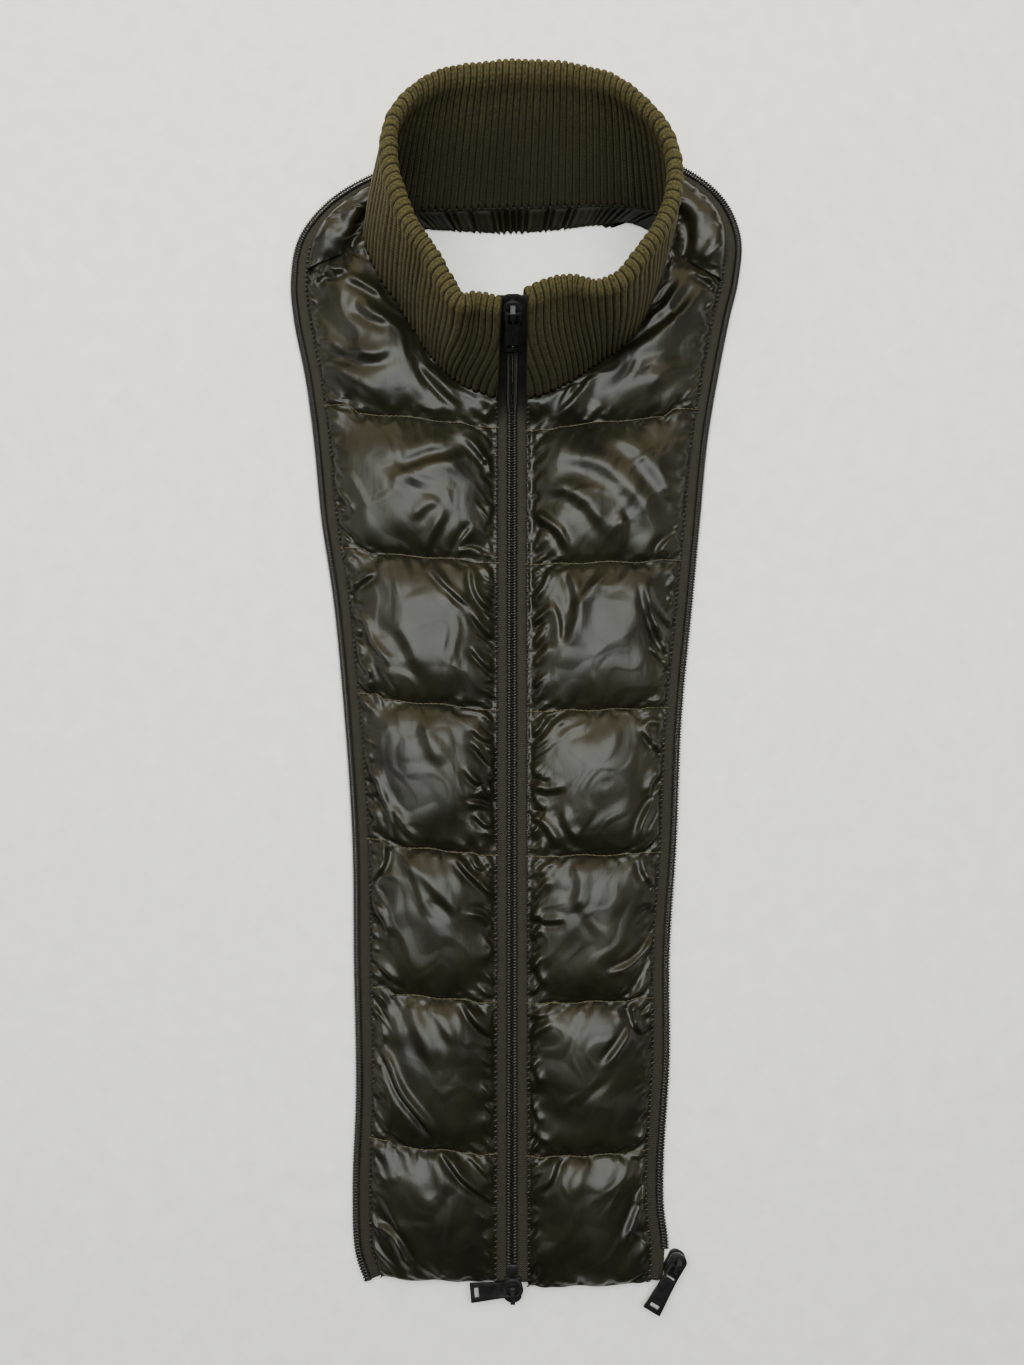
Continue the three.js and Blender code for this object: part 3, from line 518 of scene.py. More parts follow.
def inflate(name, grid, held, slack):
    points = grid.reshape(-1, 3)
    scale = padCloth["scale"] * mm
    mesh = bpy.data.meshes.new(name + "_cloth")
    mesh.from_pydata((points * scale).tolist(), [], gridFaces(*grid.shape[:2]))
    mesh.update()
    if sum(face.normal.z for face in mesh.polygons) < 0:
        mesh.flip_normals()
    cloth = added(name + "_cloth", mesh)
    sewn = cloth.vertex_groups.new(name="sewn")
    sewn.add(np.nonzero(held.ravel())[0].tolist(), 1.0, "REPLACE")
    loose = cloth.vertex_groups.new(name="slack")
    for index, weight in enumerate(slack.ravel()):
        loose.add([index], float(weight), "REPLACE")
    modifier = cloth.modifiers.new("cloth", "CLOTH")
    setAll(modifier.settings, padCloth["rules"])
    modifier.settings.effector_weights.gravity = 0
    modifier.collision_settings.use_collision = False
    modifier.point_cache.frame_end = padCloth["frames"]
    for number in range(1, padCloth["frames"] + 1):
        scene.frame_set(number)
    graph = bpy.context.evaluated_depsgraph_get()
    blown = cloth.evaluated_get(graph).to_mesh()
    moved = np.zeros(len(points) * 3)
    blown.vertices.foreach_get("co", moved)
    moved = moved.reshape(-1, 3) / scale
    bpy.data.objects.remove(cloth)
    scene.frame_set(1)
    shift = moved - points
    length = np.linalg.norm(shift, axis=1)[:, None]
    shift *= np.minimum(1, padCloth["cap"] / np.maximum(length, 1e-6))
    result = (points + shift).reshape(grid.shape)
    # one light pass takes the corners off the finest creases
    inner = result[1:-1, 1:-1]
    calm = padCloth["calm"]
    result[1:-1, 1:-1] = np.where(held[1:-1, 1:-1, None], inner, inner * (1 - calm) + neighbours(result) * calm)
    return result


def calmed(grid, share, times):
    # share 0 keeps a point where it is, 1 lets it follow its neighbours
    for _ in range(times):
        inner = grid[1:-1, 1:-1]
        grid[1:-1, 1:-1] = inner + (neighbours(grid) - inner) * 0.6 * share[1:-1, 1:-1, None]
    return grid


def finer(grid, times):
    # smooth in-between points, first along the rows and then along the columns
    for axis in (0, 1):
        lines = np.moveaxis(grid, axis, 0)
        longer = np.concatenate([2 * lines[:1] - lines[1:2], lines, 2 * lines[-1:] - lines[-2:-1]])
        before, start, end, after = longer[:-3], longer[1:-2], longer[2:-1], longer[3:]
        parts = [0.5 * (2 * start + (end - before) * t + (2 * before - 5 * start + 4 * end - after) * t * t
                        + (3 * start - before - 3 * end + after) * t ** 3) for t in np.arange(times) / times]
        lines = np.concatenate([np.stack(parts, 1).reshape(-1, *lines.shape[1:]), lines[-1:]])
        grid = np.moveaxis(lines, 0, axis)
    return grid


# a pad's rolled side below its top edge: in from the edge, and share of the edge's height
padSide = [(0.15, 0.72), (0.2, 0.4), (0.9, 0.14), (2.4, 0.035)]
padFoot = 0.15


def closedPad(name, top, material):
    rows, columns = top.shape[:2]
    last, end = rows - 1, columns - 1
    faces = gridFaces(rows, columns)
    rim = [(0, j) for j in range(end)] + [(i, end) for i in range(last)]
    rim += [(last, j) for j in range(end, 0, -1)] + [(i, 0) for i in range(last, 0, -1)]
    above = np.array([i * columns + j for i, j in rim])
    edge = top.reshape(-1, 3)[above]
    along = np.roll(edge, -2, 0) - np.roll(edge, 2, 0)
    inward = np.stack([-along[:, 1], along[:, 0]], 1)
    inward /= np.maximum(np.linalg.norm(inward, axis=1), 1e-6)[:, None]
    if (edge[:, 0] * np.roll(edge[:, 1], -1) - edge[:, 1] * np.roll(edge[:, 0], -1)).sum() < 0:
        inward = -inward
    points = [top.reshape(-1, 3)]
    size = len(rim)
    for level, (back, share) in enumerate(padSide):
        points.append(np.column_stack([edge[:, :2] + inward * back, np.maximum(edge[:, 2] * share, padFoot)]))
        below = rows * columns + level * size + np.arange(size)
        faces += np.column_stack([above, below, np.roll(below, -1), np.roll(above, -1)]).tolist()
        above = below
    under = {spot: int(above[k]) for k, spot in enumerate(rim)}
    for i in range(1, last - 1):
        faces.append((under[(i, 0)], under[(i + 1, 0)], under[(i + 1, end)], under[(i, end)]))
    for first, second in ((0, 1), (last, last - 1)):
        faces.append([under[(first, j)] for j in range(columns)] + [under[(second, end)], under[(second, 0)]])
    return meshObject(name, np.vstack(points), faces, material)


# Front panels

panel = {"cell": 2.0, "columns": 37, "neckCells": 48, "zipCells": 8, "edgeHeight": 4.4, "valley": 7.2, "finer": 3,
         "startLoft": 2.2, "puckerPitch": 9.5, "puckerDepth": 1.0, "puckerReach": 10, "puckerLean": (-0.9, 0.7),
         "puckerBend": [(3, 40, 5)], "lumps": [(0.4, 34, 11), (0.15, 13, 23)], "baffles": 7, "baffleTall": 76,
         "sewnNeck": 5.6, "seatFade": (6, 18), "riseReach": 5, "loftReach": 9, "slackReach": 12,
         "slackPatch": [(0.12, 34, 41)], "calming": 14, "calmFade": (3, 13), "broad": [(0.3, 24, 71)],
         "bend": [(5, 30, 301)], "bendUp": [(5, 30, 311)], "crumple": 1.6, "crumples": [(1, 18, 321), (-0.35, 9, 331)],
         "gather": [(0.3, 6.5, 83)], "gatherReach": (12, 7), "laid": 1.12, "innerPinch": 1.1, "pinchSeed": 31,
         "pinchEvery": (6, 16), "pinchTall": (0.3, 0.95), "pinchWide": (0.8, 1.6), "pinchLong": (4, 14)}
# how a seam gets from its outer end to its zip end: level at first, a step, then a slow slope
seamPath = [(0, 0), (0.14, 0.06), (0.2, 0.42), (0.5, 0.62), (0.8, 0.86), (0.87, 1.0), (1, 1)]
# folds, listed one by one: height, width of the steep side, then the line; its hollow is on the right of the way it
# runs, or on the left where the width is below zero
folds = {
    "left": [
        (3.0, 1.5, (-72, 125), (-63, 112), (-56, 98), (-46, 86), (-35, 71)),
        (2.6, 1.5, (-40, 76), (-29, 60), (-19, 50), (-7, 40)),
        (1.5, 1.4, (-23, 70), (-16, 59), (-7, 52)), (1.8, 1.6, (-27, 147), (-20, 134), (-8, 121)),
        (1.1, 3.2, (-56, 146), (-48, 130), (-38, 108)), (0.9, 2.6, (-46, 144), (-36, 132), (-28, 120)),
        (1.6, -1.6, (-72, 30), (-62, 28), (-54, 18), (-49, 6)), (0.9, 2.4, (-70, 50), (-60, 36), (-55, 24)),
        (0.9, 3.0, (-46, 70), (-38, 60), (-32, 46)), (1.3, 1.4, (-73, 139), (-68, 130), (-65, 120)),
        (2.4, 1.8, (-79, 270), (-70, 252), (-64, 238), (-60, 222)), (1.6, 1.5, (-62, 242), (-56, 231), (-47, 222)),
        (1.6, -1.4, (-67, 225), (-67, 212), (-74, 202)), (1.4, 2.4, (-59, 220), (-50, 205), (-42, 184)),
        (1.2, 2.8, (-52, 214), (-40, 200), (-27, 186)), (2.0, 1.6, (-31, 218), (-23, 208), (-7, 193)),
        (1.2, 1.2, (-22, 217), (-18, 210), (-13, 209)), (1.5, 1.8, (-74, 194), (-68, 184), (-62, 174)),
        (1.5, 1.5, (-76, 170), (-66, 158), (-55, 149)), (1.4, -1.4, (-24, 187), (-16, 185), (-7, 176)),
        (1.4, 1.5, (-21, 283), (-15, 277), (-8, 276)), (1.7, 1.4, (-21, 276), (-15, 268), (-8, 260)),
        (1.3, 1.4, (-25, 262), (-18, 254), (-8, 257)), (1.5, -1.3, (-24, 243), (-16, 242), (-9, 238)),
        (1.4, 1.3, (-20, 238), (-14, 232), (-8, 231)), (1.2, 1.6, (-78, 254), (-70, 247), (-66, 240)),
        (1.3, 3.4, (-46, 288), (-42, 274), (-36, 262)), (1.7, 1.6, (-96, 414), (-91, 407), (-84, 396)),
        (2.2, -4.2, (-66, 411), (-50, 419), (-34, 424), (-20, 426)), (1.6, 3.4, (-62, 424), (-46, 432), (-30, 434)),
        (1.4, -2.0, (-35, 400), (-38, 392), (-44, 382), (-47, 373)), (0.8, 2.4, (-54, 392), (-45, 400), (-37, 402)),
        (1.5, 1.5, (-20, 390), (-26, 382), (-31, 374)), (1.3, -1.4, (-32, 373), (-22, 378), (-10, 373)),
        (1.6, 1.7, (-90, 355), (-82, 360), (-72, 366)),
        (2.3, 1.8, (-88, 347), (-78, 338), (-74, 328), (-66, 318), (-61, 312)),
        (1.6, 1.6, (-85, 324), (-79, 316), (-73, 308)), (1.3, 2.2, (-72, 320), (-65, 310), (-58, 299)),
        (1.2, 3.0, (-68, 342), (-56, 330), (-46, 306)), (1.4, 1.4, (-44, 368), (-34, 357), (-21, 345)),
        (1.9, 1.5, (-21, 369), (-19, 355), (-10, 342)), (1.6, 1.4, (-21, 344), (-16, 336), (-8, 329)),
        (1.4, 1.4, (-22, 326), (-16, 318), (-8, 310)), (1.6, 1.8, (-26, 440), (-17, 430), (-9, 421)),
        (1.8, 2.0, (-90, 527), (-80, 522), (-69, 515)), (2.0, 1.8, (-106, 538), (-98, 531), (-88, 531)),
        (1.6, 1.6, (-110, 524), (-101, 530), (-92, 526)), (1.8, 2.8, (-108, 497), (-92, 487), (-74, 482), (-62, 488)),
        (2.2, 3.4, (-104, 482), (-86, 470), (-66, 456)), (1.8, 1.8, (-50, 480), (-38, 466), (-27, 456)),
        (1.6, 2.4, (-84, 512), (-74, 504), (-64, 500)),
    ],
    "right": [
        (1.7, -1.5, (9, 132), (16, 137), (23, 144)), (1.4, -1.4, (9, 123), (14, 128), (21, 132)),
        (1.7, 1.6, (12, 47), (19, 54), (25, 69)), (1.6, 1.5, (63, 150), (62, 138), (66, 127), (72, 127)),
        (1.5, -1.7, (46, 109), (55, 120), (63, 131)), (1.5, 1.5, (60, 71), (63, 65), (70, 65)),
        (1.9, -2.0, (56, 22), (63, 36), (70, 51)), (0.9, 3.4, (30, 44), (35, 56), (41, 68)),
        (1.2, 1.4, (9, 112), (13, 105), (16, 99)), (1.3, 1.4, (9, 92), (12, 86), (15, 80)),
        (1.1, 1.4, (9, 78), (15, 73), (20, 71)),
        (1.6, -1.6, (9, 270), (17, 277), (24, 285), (32, 288)), (1.3, -1.4, (10, 279), (15, 283), (18, 289)),
        (1.3, 1.5, (9, 263), (15, 257), (21, 256)), (1.3, 1.8, (9, 254), (17, 250), (28, 252)),
        (1.7, 1.5, (9, 250), (14, 243), (19, 238)), (1.7, 1.6, (9, 237), (17, 232), (25, 219)),
        (1.5, 1.9, (26, 243), (29, 231), (38, 220)), (1.7, 1.5, (68, 283), (74, 275), (82, 268)),
        (1.3, -1.4, (68, 282), (73, 286), (80, 285)), (1.7, -1.6, (80, 261), (73, 253), (71, 246)),
        (2.1, -1.8, (65, 222), (69, 235), (78, 248)), (1.3, -1.5, (70, 226), (75, 232), (80, 240)),
        (1.6, -1.5, (12, 205), (16, 209), (22, 216)), (1.4, -1.5, (9, 196), (14, 198), (20, 205)),
        (1.7, 1.7, (68, 218), (69, 208), (76, 199)), (1.5, -1.5, (48, 156), (60, 160), (70, 168), (76, 178)),
        (1.7, -1.7, (63, 142), (68, 152), (76, 164)), (1.4, 1.6, (9, 187), (16, 183), (28, 184)),
        (1.6, 1.6, (9, 168), (13, 158), (18, 148)), (1.1, 3.2, (34, 216), (36, 200), (32, 186)),
        (2.2, 1.8, (8, 402), (16, 394), (25, 386), (31, 373)), (1.8, 3.2, (12, 412), (30, 408), (44, 396), (52, 382)),
        (1.6, 4.4, (20, 428), (44, 424), (64, 408), (78, 388)), (1.4, 4.0, (46, 442), (66, 432), (82, 412), (92, 392)),
        (1.9, -1.8, (76, 370), (81, 379), (92, 388)), (1.9, -1.6, (8, 350), (16, 357), (22, 369)),
        (1.5, 2.6, (52, 366), (38, 350), (30, 324)), (1.4, -1.8, (19, 352), (24, 338), (24, 324)),
        (2.2, 1.9, (70, 363), (73, 346), (79, 330), (87, 314)), (1.5, 1.5, (74, 350), (81, 340), (90, 336)),
        (1.4, -1.4, (9, 338), (14, 341), (21, 347)), (1.4, -1.4, (9, 324), (14, 330), (19, 340)),
        (1.3, -1.4, (9, 312), (14, 318), (20, 328)), (1.3, 2.2, (56, 368), (58, 392), (54, 396)),
        (1.5, 2.0, (30, 368), (34, 352), (33, 340)), (1.4, 1.6, (72, 326), (80, 318), (88, 312)),
        (2.6, -3.4, (52, 482), (72, 489), (92, 505), (108, 526)), (1.8, -2.0, (21, 447), (31, 455), (45, 473)),
        (2.0, -3.0, (60, 497), (78, 505), (94, 522)), (1.8, 1.8, (96, 531), (104, 529), (116, 522)),
        (1.6, -1.7, (100, 536), (108, 530), (112, 518)), (1.5, 3.2, (70, 462), (86, 474), (104, 478)),
        (1.4, -1.8, (24, 452), (30, 462), (33, 470)),
    ],
}


def seamHeights(side, row, share):  # share 0 at the zip, 1 at the outer edge
    inner, outer = seamRows[row][:2] if side < 0 else seamRows[row][2:]
    steps = np.array(seamPath)
    progress = np.interp(1 - share, steps[:, 0], steps[:, 1])
    wobble = 0.45 * np.sin(share * 17 + row * 2.1 + side) * np.sin(np.pi * share)
    return outer + (inner - outer) * progress + wobble


def panelPlan(side):
    # rows of points from the zip to the outer edge, the sewn rows, and how far each row stands within its baffle
    left = side < 0
    neck = neckLine[: neckLeft + 1] if left else neckLine[neckRight:][::-1]
    neck = neck[neck[:, 1] > zipTop + 0.5]
    zipHeights, outerHeights = zip(*[row[:2] if left else row[2:] for row in seamRows])
    inner = np.vstack([[side * stripHalf, zipHeights[0]], [side * stripHalf, zipTop], neck])
    outer = fabricLine if left else fabricLine[::-1]
    outerSums = lengthsAlong(outer)
    stops = [outerSums[int(np.argmax(outer[:, 1] >= height))] for height in outerHeights]
    innerEnd = lengthsAlong(inner)[-1]
    neckStart = zipTop - zipHeights[0]
    shares = np.linspace(0, 1, panel["columns"])
    plan, sewn, rowLoft, seamAt = [], [], [], []
    for baffle in range(panel["baffles"]):
        top = baffle == panel["baffles"] - 1
        start = zipHeights[baffle] - zipHeights[0]
        if top:
            climb = np.linspace(start, neckStart, panel["zipCells"] + 1)
            walk = np.concatenate([climb, np.linspace(neckStart, innerEnd, panel["neckCells"] + 1)[1:]])
        else:
            end = zipHeights[baffle + 1] - zipHeights[0]
            walk = np.linspace(start, end, int(round((end - start) / panel["cell"])) + 1)
        through = np.linspace(0, 1, len(walk))
        a = pointsAt(inner, walk)
        b = pointsAt(outer, stops[baffle] + (stops[baffle + 1] - stops[baffle]) * through)
        below = seamHeights(side, baffle, shares) - (a[0][1] + (b[0][1] - a[0][1]) * shares)
        above = 0 if top else seamHeights(side, baffle + 1, shares) - (a[-1][1] + (b[-1][1] - a[-1][1]) * shares)
        for step in range(0 if baffle == 0 else 1, len(walk)):
            t = through[step]
            row = a[step] + (b[step] - a[step]) * shares[:, None]
            row[:, 1] += below * (1 - t) + above * t
            plan.append(row)
            sewn.append(step == len(walk) - 1 or step == 0)
            rowLoft.append(math.sin(math.pi * t) ** 0.6)
            seamAt.append(baffle + min(t, 0.999))
    return np.array(plan), np.array(sewn), np.array(rowLoft), np.array(seamAt), (neck, inner[::2], outer)


def panelStart(side):
    plan, sewn, rowLoft, seamAt, lines = panelPlan(side)
    neck, inner, outer = lines
    shape = plan.shape[:2]
    flat = plan.reshape(-1, 2)
    toInner, toOuter, toNeck = (distanceTo(line, flat) for line in (inner, outer[::4], neck[::2]))
    toEdge = np.minimum(toInner, toOuter)
    rise = 1 - np.exp(-toEdge / panel["riseReach"])
    height = panel["edgeHeight"] + (panel["valley"] - panel["edgeHeight"]) * rise
    lofts = np.repeat(rowLoft, shape[1])
    height = height + panel["startLoft"] * lofts * (1 - np.exp(-toEdge / panel["loftReach"]))
    swing = flat[:, 1] + np.where(toInner < toOuter, *panel["puckerLean"]) * toEdge
    pucker = np.sin(fullTurn * (swing + mixed(ripples, flat, panel["puckerBend"])) / panel["puckerPitch"])
    height = height + panel["puckerDepth"] * pucker * np.exp(-toEdge / panel["puckerReach"]) * smoothStep(toEdge, 0, 3)
    height = height + lofts * mixed(ripples, flat, panel["lumps"], side)
    height = height + (seatHeight - height) * (1 - smoothStep(toNeck, *panel["seatFade"]))
    held = np.zeros(shape, bool)
    held[sewn] = held[0] = held[-1] = True
    held[:, 0] = held[:, -1] = True
    held |= (toNeck < panel["sewnNeck"]).reshape(shape)
    slack = np.exp(-toEdge / panel["slackReach"]) + mixed(ripples, flat, panel["slackPatch"], side)
    slack = np.clip(slack.reshape(shape), 0, 1)
    return np.dstack([plan, height.reshape(shape)]), held, slack, seamAt, sewn, lines


def foldHeights(rows, flat):
    total = np.zeros(len(flat))
    for tall, wide, *way in rows:
        line = smoothLine(way, 6)
        reach = abs(wide) * 5 + 1
        near = np.all((flat > line.min(0) - reach) & (flat < line.max(0) + reach), axis=1)
        away, share = besideLine(line, flat[near])
        away = away * math.copysign(1, wide) / abs(wide)
        ridge = np.exp(-np.where(away < 0, away / 1.7, away) ** 2) - 0.6 * np.exp(-((away - 1.9) / 1.3) ** 2)
        total[near] += tall * ridge * smoothStep(share, -0.05, 0.3) * (1 - smoothStep(share, 0.72, 1.02))
    return total


def pinches(flat, beside, away, climb, chance):
    # short sharp tucks that leave a sewn edge: beside is how far along the edge, away the distance from it
    total = np.zeros(len(flat))
    spot = beside.min()
    while spot < beside.max():
        spot += chance.uniform(*panel["pinchEvery"])
        tall, wide, reach = (chance.uniform(*panel[key]) for key in ("pinchTall", "pinchWide", "pinchLong"))
        slope = climb * chance.uniform(0.5, 1.7) * (1 if chance.uniform() > 0.12 else -0.6)
        curve = chance.uniform(-0.03, 0.03)
        off = (beside - spot - slope * away - curve * away ** 2) / (wide * math.hypot(1, slope))
        ridge = np.exp(-off ** 2) - 0.6 * np.exp(-((off - 1.8) / 1.2) ** 2)
        total += tall * ridge * smoothStep(away, 0.3, 2.5) * (1 - smoothStep(away, reach * 0.35, reach))
    return total


def raisedBy(grid, shift):
    grid[..., 2] = np.maximum(grid[..., 2] + shift.reshape(grid.shape[:2]), lowest)
    return grid


def dressed(top, side, seamAt, lines):
    # the sharper folds, laid over the blown up cloth
    neck, inner, outer = lines
    count, tall = panel["finer"], panel["baffleTall"]
    coarse = top[..., :2].reshape(-1, 2)
    nearest = np.minimum(distanceTo(inner, coarse), distanceTo(outer[::6], coarse))
    calm = smoothStep(nearest, *panel["calmFade"]).reshape(top.shape[:2])
    calm *= smoothStep(np.minimum(seamAt % 1, 1 - seamAt % 1) * tall, 3, 12)[:, None]
    top = finer(calmed(top, calm, panel["calming"]), count)
    rows, columns = top.shape[:2]
    flat = top[..., :2].reshape(-1, 2)
    through = np.repeat(np.interp(np.arange(rows) / count, np.arange(len(seamAt)), seamAt) % 1, columns)
    toInner, toOuter, toNeck = (distanceTo(line, flat) for line in (inner, outer[::6], neck[::3]))
    under = (1 - through) * tall
    fromSeam = np.minimum(through, 1 - through) * tall
    free = smoothStep(fromSeam, 0.5, 5) * smoothStep(np.minimum(toInner, toOuter), 0.2, 2.5) * smoothStep(toNeck, 5, 9)
    leaning = np.column_stack([flat[:, 0] - side * 0.4 * flat[:, 1], flat[:, 1] * 0.3])
    broad = mixed(ripples, leaning, panel["broad"], side) * smoothStep(fromSeam, 2, 18)
    bent = flat + np.column_stack([mixed(ripples, flat, panel[key], side) for key in ("bend", "bendUp")])
    bent = np.column_stack([bent[:, 0] - side * 0.35 * bent[:, 1], bent[:, 1] * 0.62])
    broad += panel["crumple"] * mixed(crumples, bent, panel["crumples"], side)
    drawn = mixed(ripples, np.column_stack([leaning[:, 0], leaning[:, 1] * 0.4]), panel["gather"], side)
    near, far = panel["gatherReach"]
    gathers = drawn * (np.exp(-under / near) + 0.6 * np.exp(-(tall - under) / far)) * smoothStep(fromSeam, 0.6, 3)
    chance = np.random.default_rng(panel["pinchSeed"] + side)
    tucks = panel["innerPinch"] * pinches(flat, flat[:, 1], toInner, 1.0, chance)
    tucks = tucks + pinches(flat, flat[:, 1], toOuter, -1.0, chance)
    laid = panel["laid"] * foldHeights(folds["left" if side < 0 else "right"], flat)
    return raisedBy(top, (broad + gathers + tucks + laid) * free)


def buildPanel(name, side):
    grid, held, slack, seamAt, sewn, lines = panelStart(side)
    top = inflate(name, grid, held, slack)
    top = dressed(top, side, seamAt, lines)
    pad = closedPad(name, top, nylon)
    print(name, "blown up, highest", round(float(top[..., 2].max()), 1), "mm")
    return pad, top, np.nonzero(sewn)[0] * panel["finer"]


leftPad, leftTop, leftSewn = buildPanel("left_panel", -1)
rightPad, rightTop, rightSewn = buildPanel("right_panel", 1)

# Back yoke: gathered at the neck, hollow beside the collar, then a rounded band at the outer edge

yoke = {"crumple": 2.4, "crumples": [(1, 20, 351), (-0.4, 9, 352)], "sink": 0.25, "gathers": 46, "gatherDepth": 2.0,
        "bandReach": 6.6, "bandRows": 6, "seat": 6.0, "columns": 26, "steps": 200, "corners": (-58, 70), "valley": 7.6,
        "lumps": [(1, 34, 61)], "outerPinch": 1.3, "neckPinch": 2.0, "slack": 0.05, "calming": 8, "finer": 2,
        "shadeWithin": 9}
yokeProfile = [(0, 12.8), (0.08, 9.5), (0.2, 5.2), (0.32, 6.2), (0.5, 13.0), (0.66, 15.4), (0.82, 12.6), (0.93, 7.8),
               (1, 4.4)]


def creased(grid, inner, outer):
    # tucks from both sewn edges and a few crumples between them
    rows, columns = grid.shape[:2]
    flat = grid[..., :2].reshape(-1, 2)
    toOuter, toNeck = distanceTo(outer[::6], flat), distanceTo(inner[::3], flat)
    beside = np.repeat(np.linspace(0, lengthsAlong(outer)[-1], rows), columns)
    onTop = np.tile(np.arange(columns) > 2 * (yoke["bandRows"] + 3), rows)
    fromEnd = np.repeat(np.minimum(np.arange(rows), np.arange(rows)[::-1]), columns)
    free = onTop * smoothStep(toOuter, 0.2, 2.5) * smoothStep(toNeck, 7, 11) * smoothStep(fromEnd, 0, 8)
    chance = np.random.default_rng(12)
    tucks = yoke["outerPinch"] * pinches(flat, beside, toOuter, 0.7, chance)
    tucks = tucks + yoke["neckPinch"] * pinches(flat, beside, toNeck - yoke["seat"], -0.5, chance)
    patches = yoke["crumple"] * (mixed(crumples, flat, yoke["crumples"]) - yoke["sink"])
    return raisedBy(grid, (tucks + patches) * free)


def yokeStart(inner, outer):
    # columns of points from the gathered band under the collar, over the seat of the collar, to the outer edge
    a, b = evenly(inner, yoke["steps"]), evenly(outer, yoke["steps"])
    depth = np.linalg.norm(b - a, axis=1)[:, None]
    across = (b - a) / depth
    shares = np.linspace(0, 1, yoke["steps"])
    phase = np.cumsum(np.random.default_rng(8).uniform(0.6, 1.4, yoke["steps"]))
    gather = np.sin(fullTurn * (phase * (yoke["gathers"] / phase[-1])))
    deep = gather * (0.55 + 0.45 * np.sin(shares * 59 + 2 * np.sin(shares * 21)))
    ends = smoothStep(np.minimum(shares, 1 - shares), 0, 0.05)
    backHalf = smoothStep(np.minimum(shares, 1 - shares), 0.02, 0.1)
    corners = sum(np.exp(-((a[:, 0] - x) / 14) ** 2) for x in yoke["corners"])
    columns = []
    for t in 1 - np.arange(yoke["bandRows"]) / yoke["bandRows"]:  # the gathered band leans in under the collar
        reach = yoke["bandReach"] * (1 + 0.5 * corners) * t * backHalf + 0.3 * t - 1.4 * (1 - t) ** 2
        height = seatHeight * (1 - t) ** 1.1 + 0.3 - 0.3 * (1 - t)
        wave = deep * yoke["gatherDepth"] * math.sin(math.pi * min(0.12 + t * 0.75, 0.8)) * backHalf
        columns.append((a - across * (reach + wave)[:, None], height))
    columns += [(a + across * yoke["seat"] * t, seatHeight) for t in (0, 0.45, 0.9)]
    for t in np.arange(yoke["columns"]) / (yoke["columns"] - 1):
        place = a + across * (yoke["seat"] + (depth - yoke["seat"]) * (t * 0.985 + 0.015))
        tall = np.interp(t, *zip(*yokeProfile))
        valley = min(tall, yoke["valley"]) if t > 0.1 else tall
        height = valley + (tall - valley) * ends
        height = height + gather * 0.5 * (1 - t) ** 2 * ends
        height = height + mixed(ripples, place, yoke["lumps"]) * 0.25 * math.sin(math.pi * t) * ends
        height = height + 0.7 * deep * math.exp(-((t - 0.3) / 0.14) ** 2) * ends
        columns.append((place, height))
    return np.stack([np.column_stack([place, np.broadcast_to(height, len(a))]) for place, height in columns], 1)


def buildYoke():
    inner = neckLine[neckLeft: neckRight + 1]
    outer = fabricLine[int(np.argmax(fabricLine[:, 1] >= seamRows[7][1])):]
    outer = outer[: len(outer) - int(np.argmax(outer[::-1][:, 1] >= seamRows[7][3]))]
    grid = yokeStart(inner, outer)
    flatBand = yoke["bandRows"]
    held = np.zeros(grid.shape[:2], bool)
    held[0] = held[-1] = True
    held[:, : flatBand + 5] = held[:, -1:] = True
    slack = np.full(held.shape, yoke["slack"])
    blown = inflate("back_yoke", grid[:, flatBand:], held[:, flatBand:], slack[:, flatBand:])
    calm = np.zeros(blown.shape[:2])
    calm[2:-2, 6:-1] = 1
    grid = np.concatenate([grid[:, :flatBand], calmed(blown, calm, yoke["calming"])], 1)
    grid = creased(finer(grid, yoke["finer"]), inner, outer)
    pad = closedPad("back_yoke_pad", grid, nylon)
    # faces near the neck line take the weaker-shine copy: painted shade under the collar
    pad.data.materials.append(shadedNylon)
    middles = np.zeros(len(pad.data.polygons) * 3)
    pad.data.polygons.foreach_get("center", middles)
    middles = (middles.reshape(-1, 3)[:, :2] - np.array(origin)[:2]) / mm
    inBand = distanceTo(inner[::3], middles) < yoke["shadeWithin"]
    pad.data.polygons.foreach_set("material_index", inBand.astype(int))
    print("yoke made, highest", round(float(grid[..., 2].max()), 1), "mm")
    return pad, grid


yokePad, yokeTop = buildYoke()

# Rib collar

collar = {"overTape": 1.5, "ribs": 108, "perRib": 8, "around": 66, "raise": 0.85, "bulge": 1.5, "base": 13.3,
          "section": 64, "sway": 0.7}
# up the outside, over the rolled rim, down the inside: share of the height, and out from the middle of the wall
collarSection = [
    (0, 2.4), (0.3, 2.6), (0.65, 2.7), (0.85, 3.3), (0.93, 4.3), (0.98, 3.1), (1, 0), (0.975, -2.8),
    (0.92, -3.9), (0.83, -2.9), (0.4, -2.6), (0, -2.4),
]
# how far the foot of a rib stands further from the zip than its top, by the distance from the zip round the wall
ribLean = {"left": [(0, 9), (15, 9.5), (34, 3), (47, -3), (75, -2), (110, 0)],
           "right": [(0, 8), (15, 8), (34, 3.6), (55, -3), (80, -2), (120, 0)]}


def collarWalk():
    # the wall's cross section, with closer points over the rim than on the walls
    section = smoothLine([(up * collar["section"], out) for up, out in collarSection], 30)
    sums = lengthsAlong(section)
    density = 1 + 2.2 * smoothStep(section[:, 0] / collar["section"], 0.82, 0.95)
    weight = np.concatenate([[0], np.cumsum(np.diff(sums) * (density[1:] + density[:-1]) / 2)])
    walk = np.interp(np.linspace(0, weight[-1], collar["around"]), weight, sums)
    return pointsAt(section, walk), walk


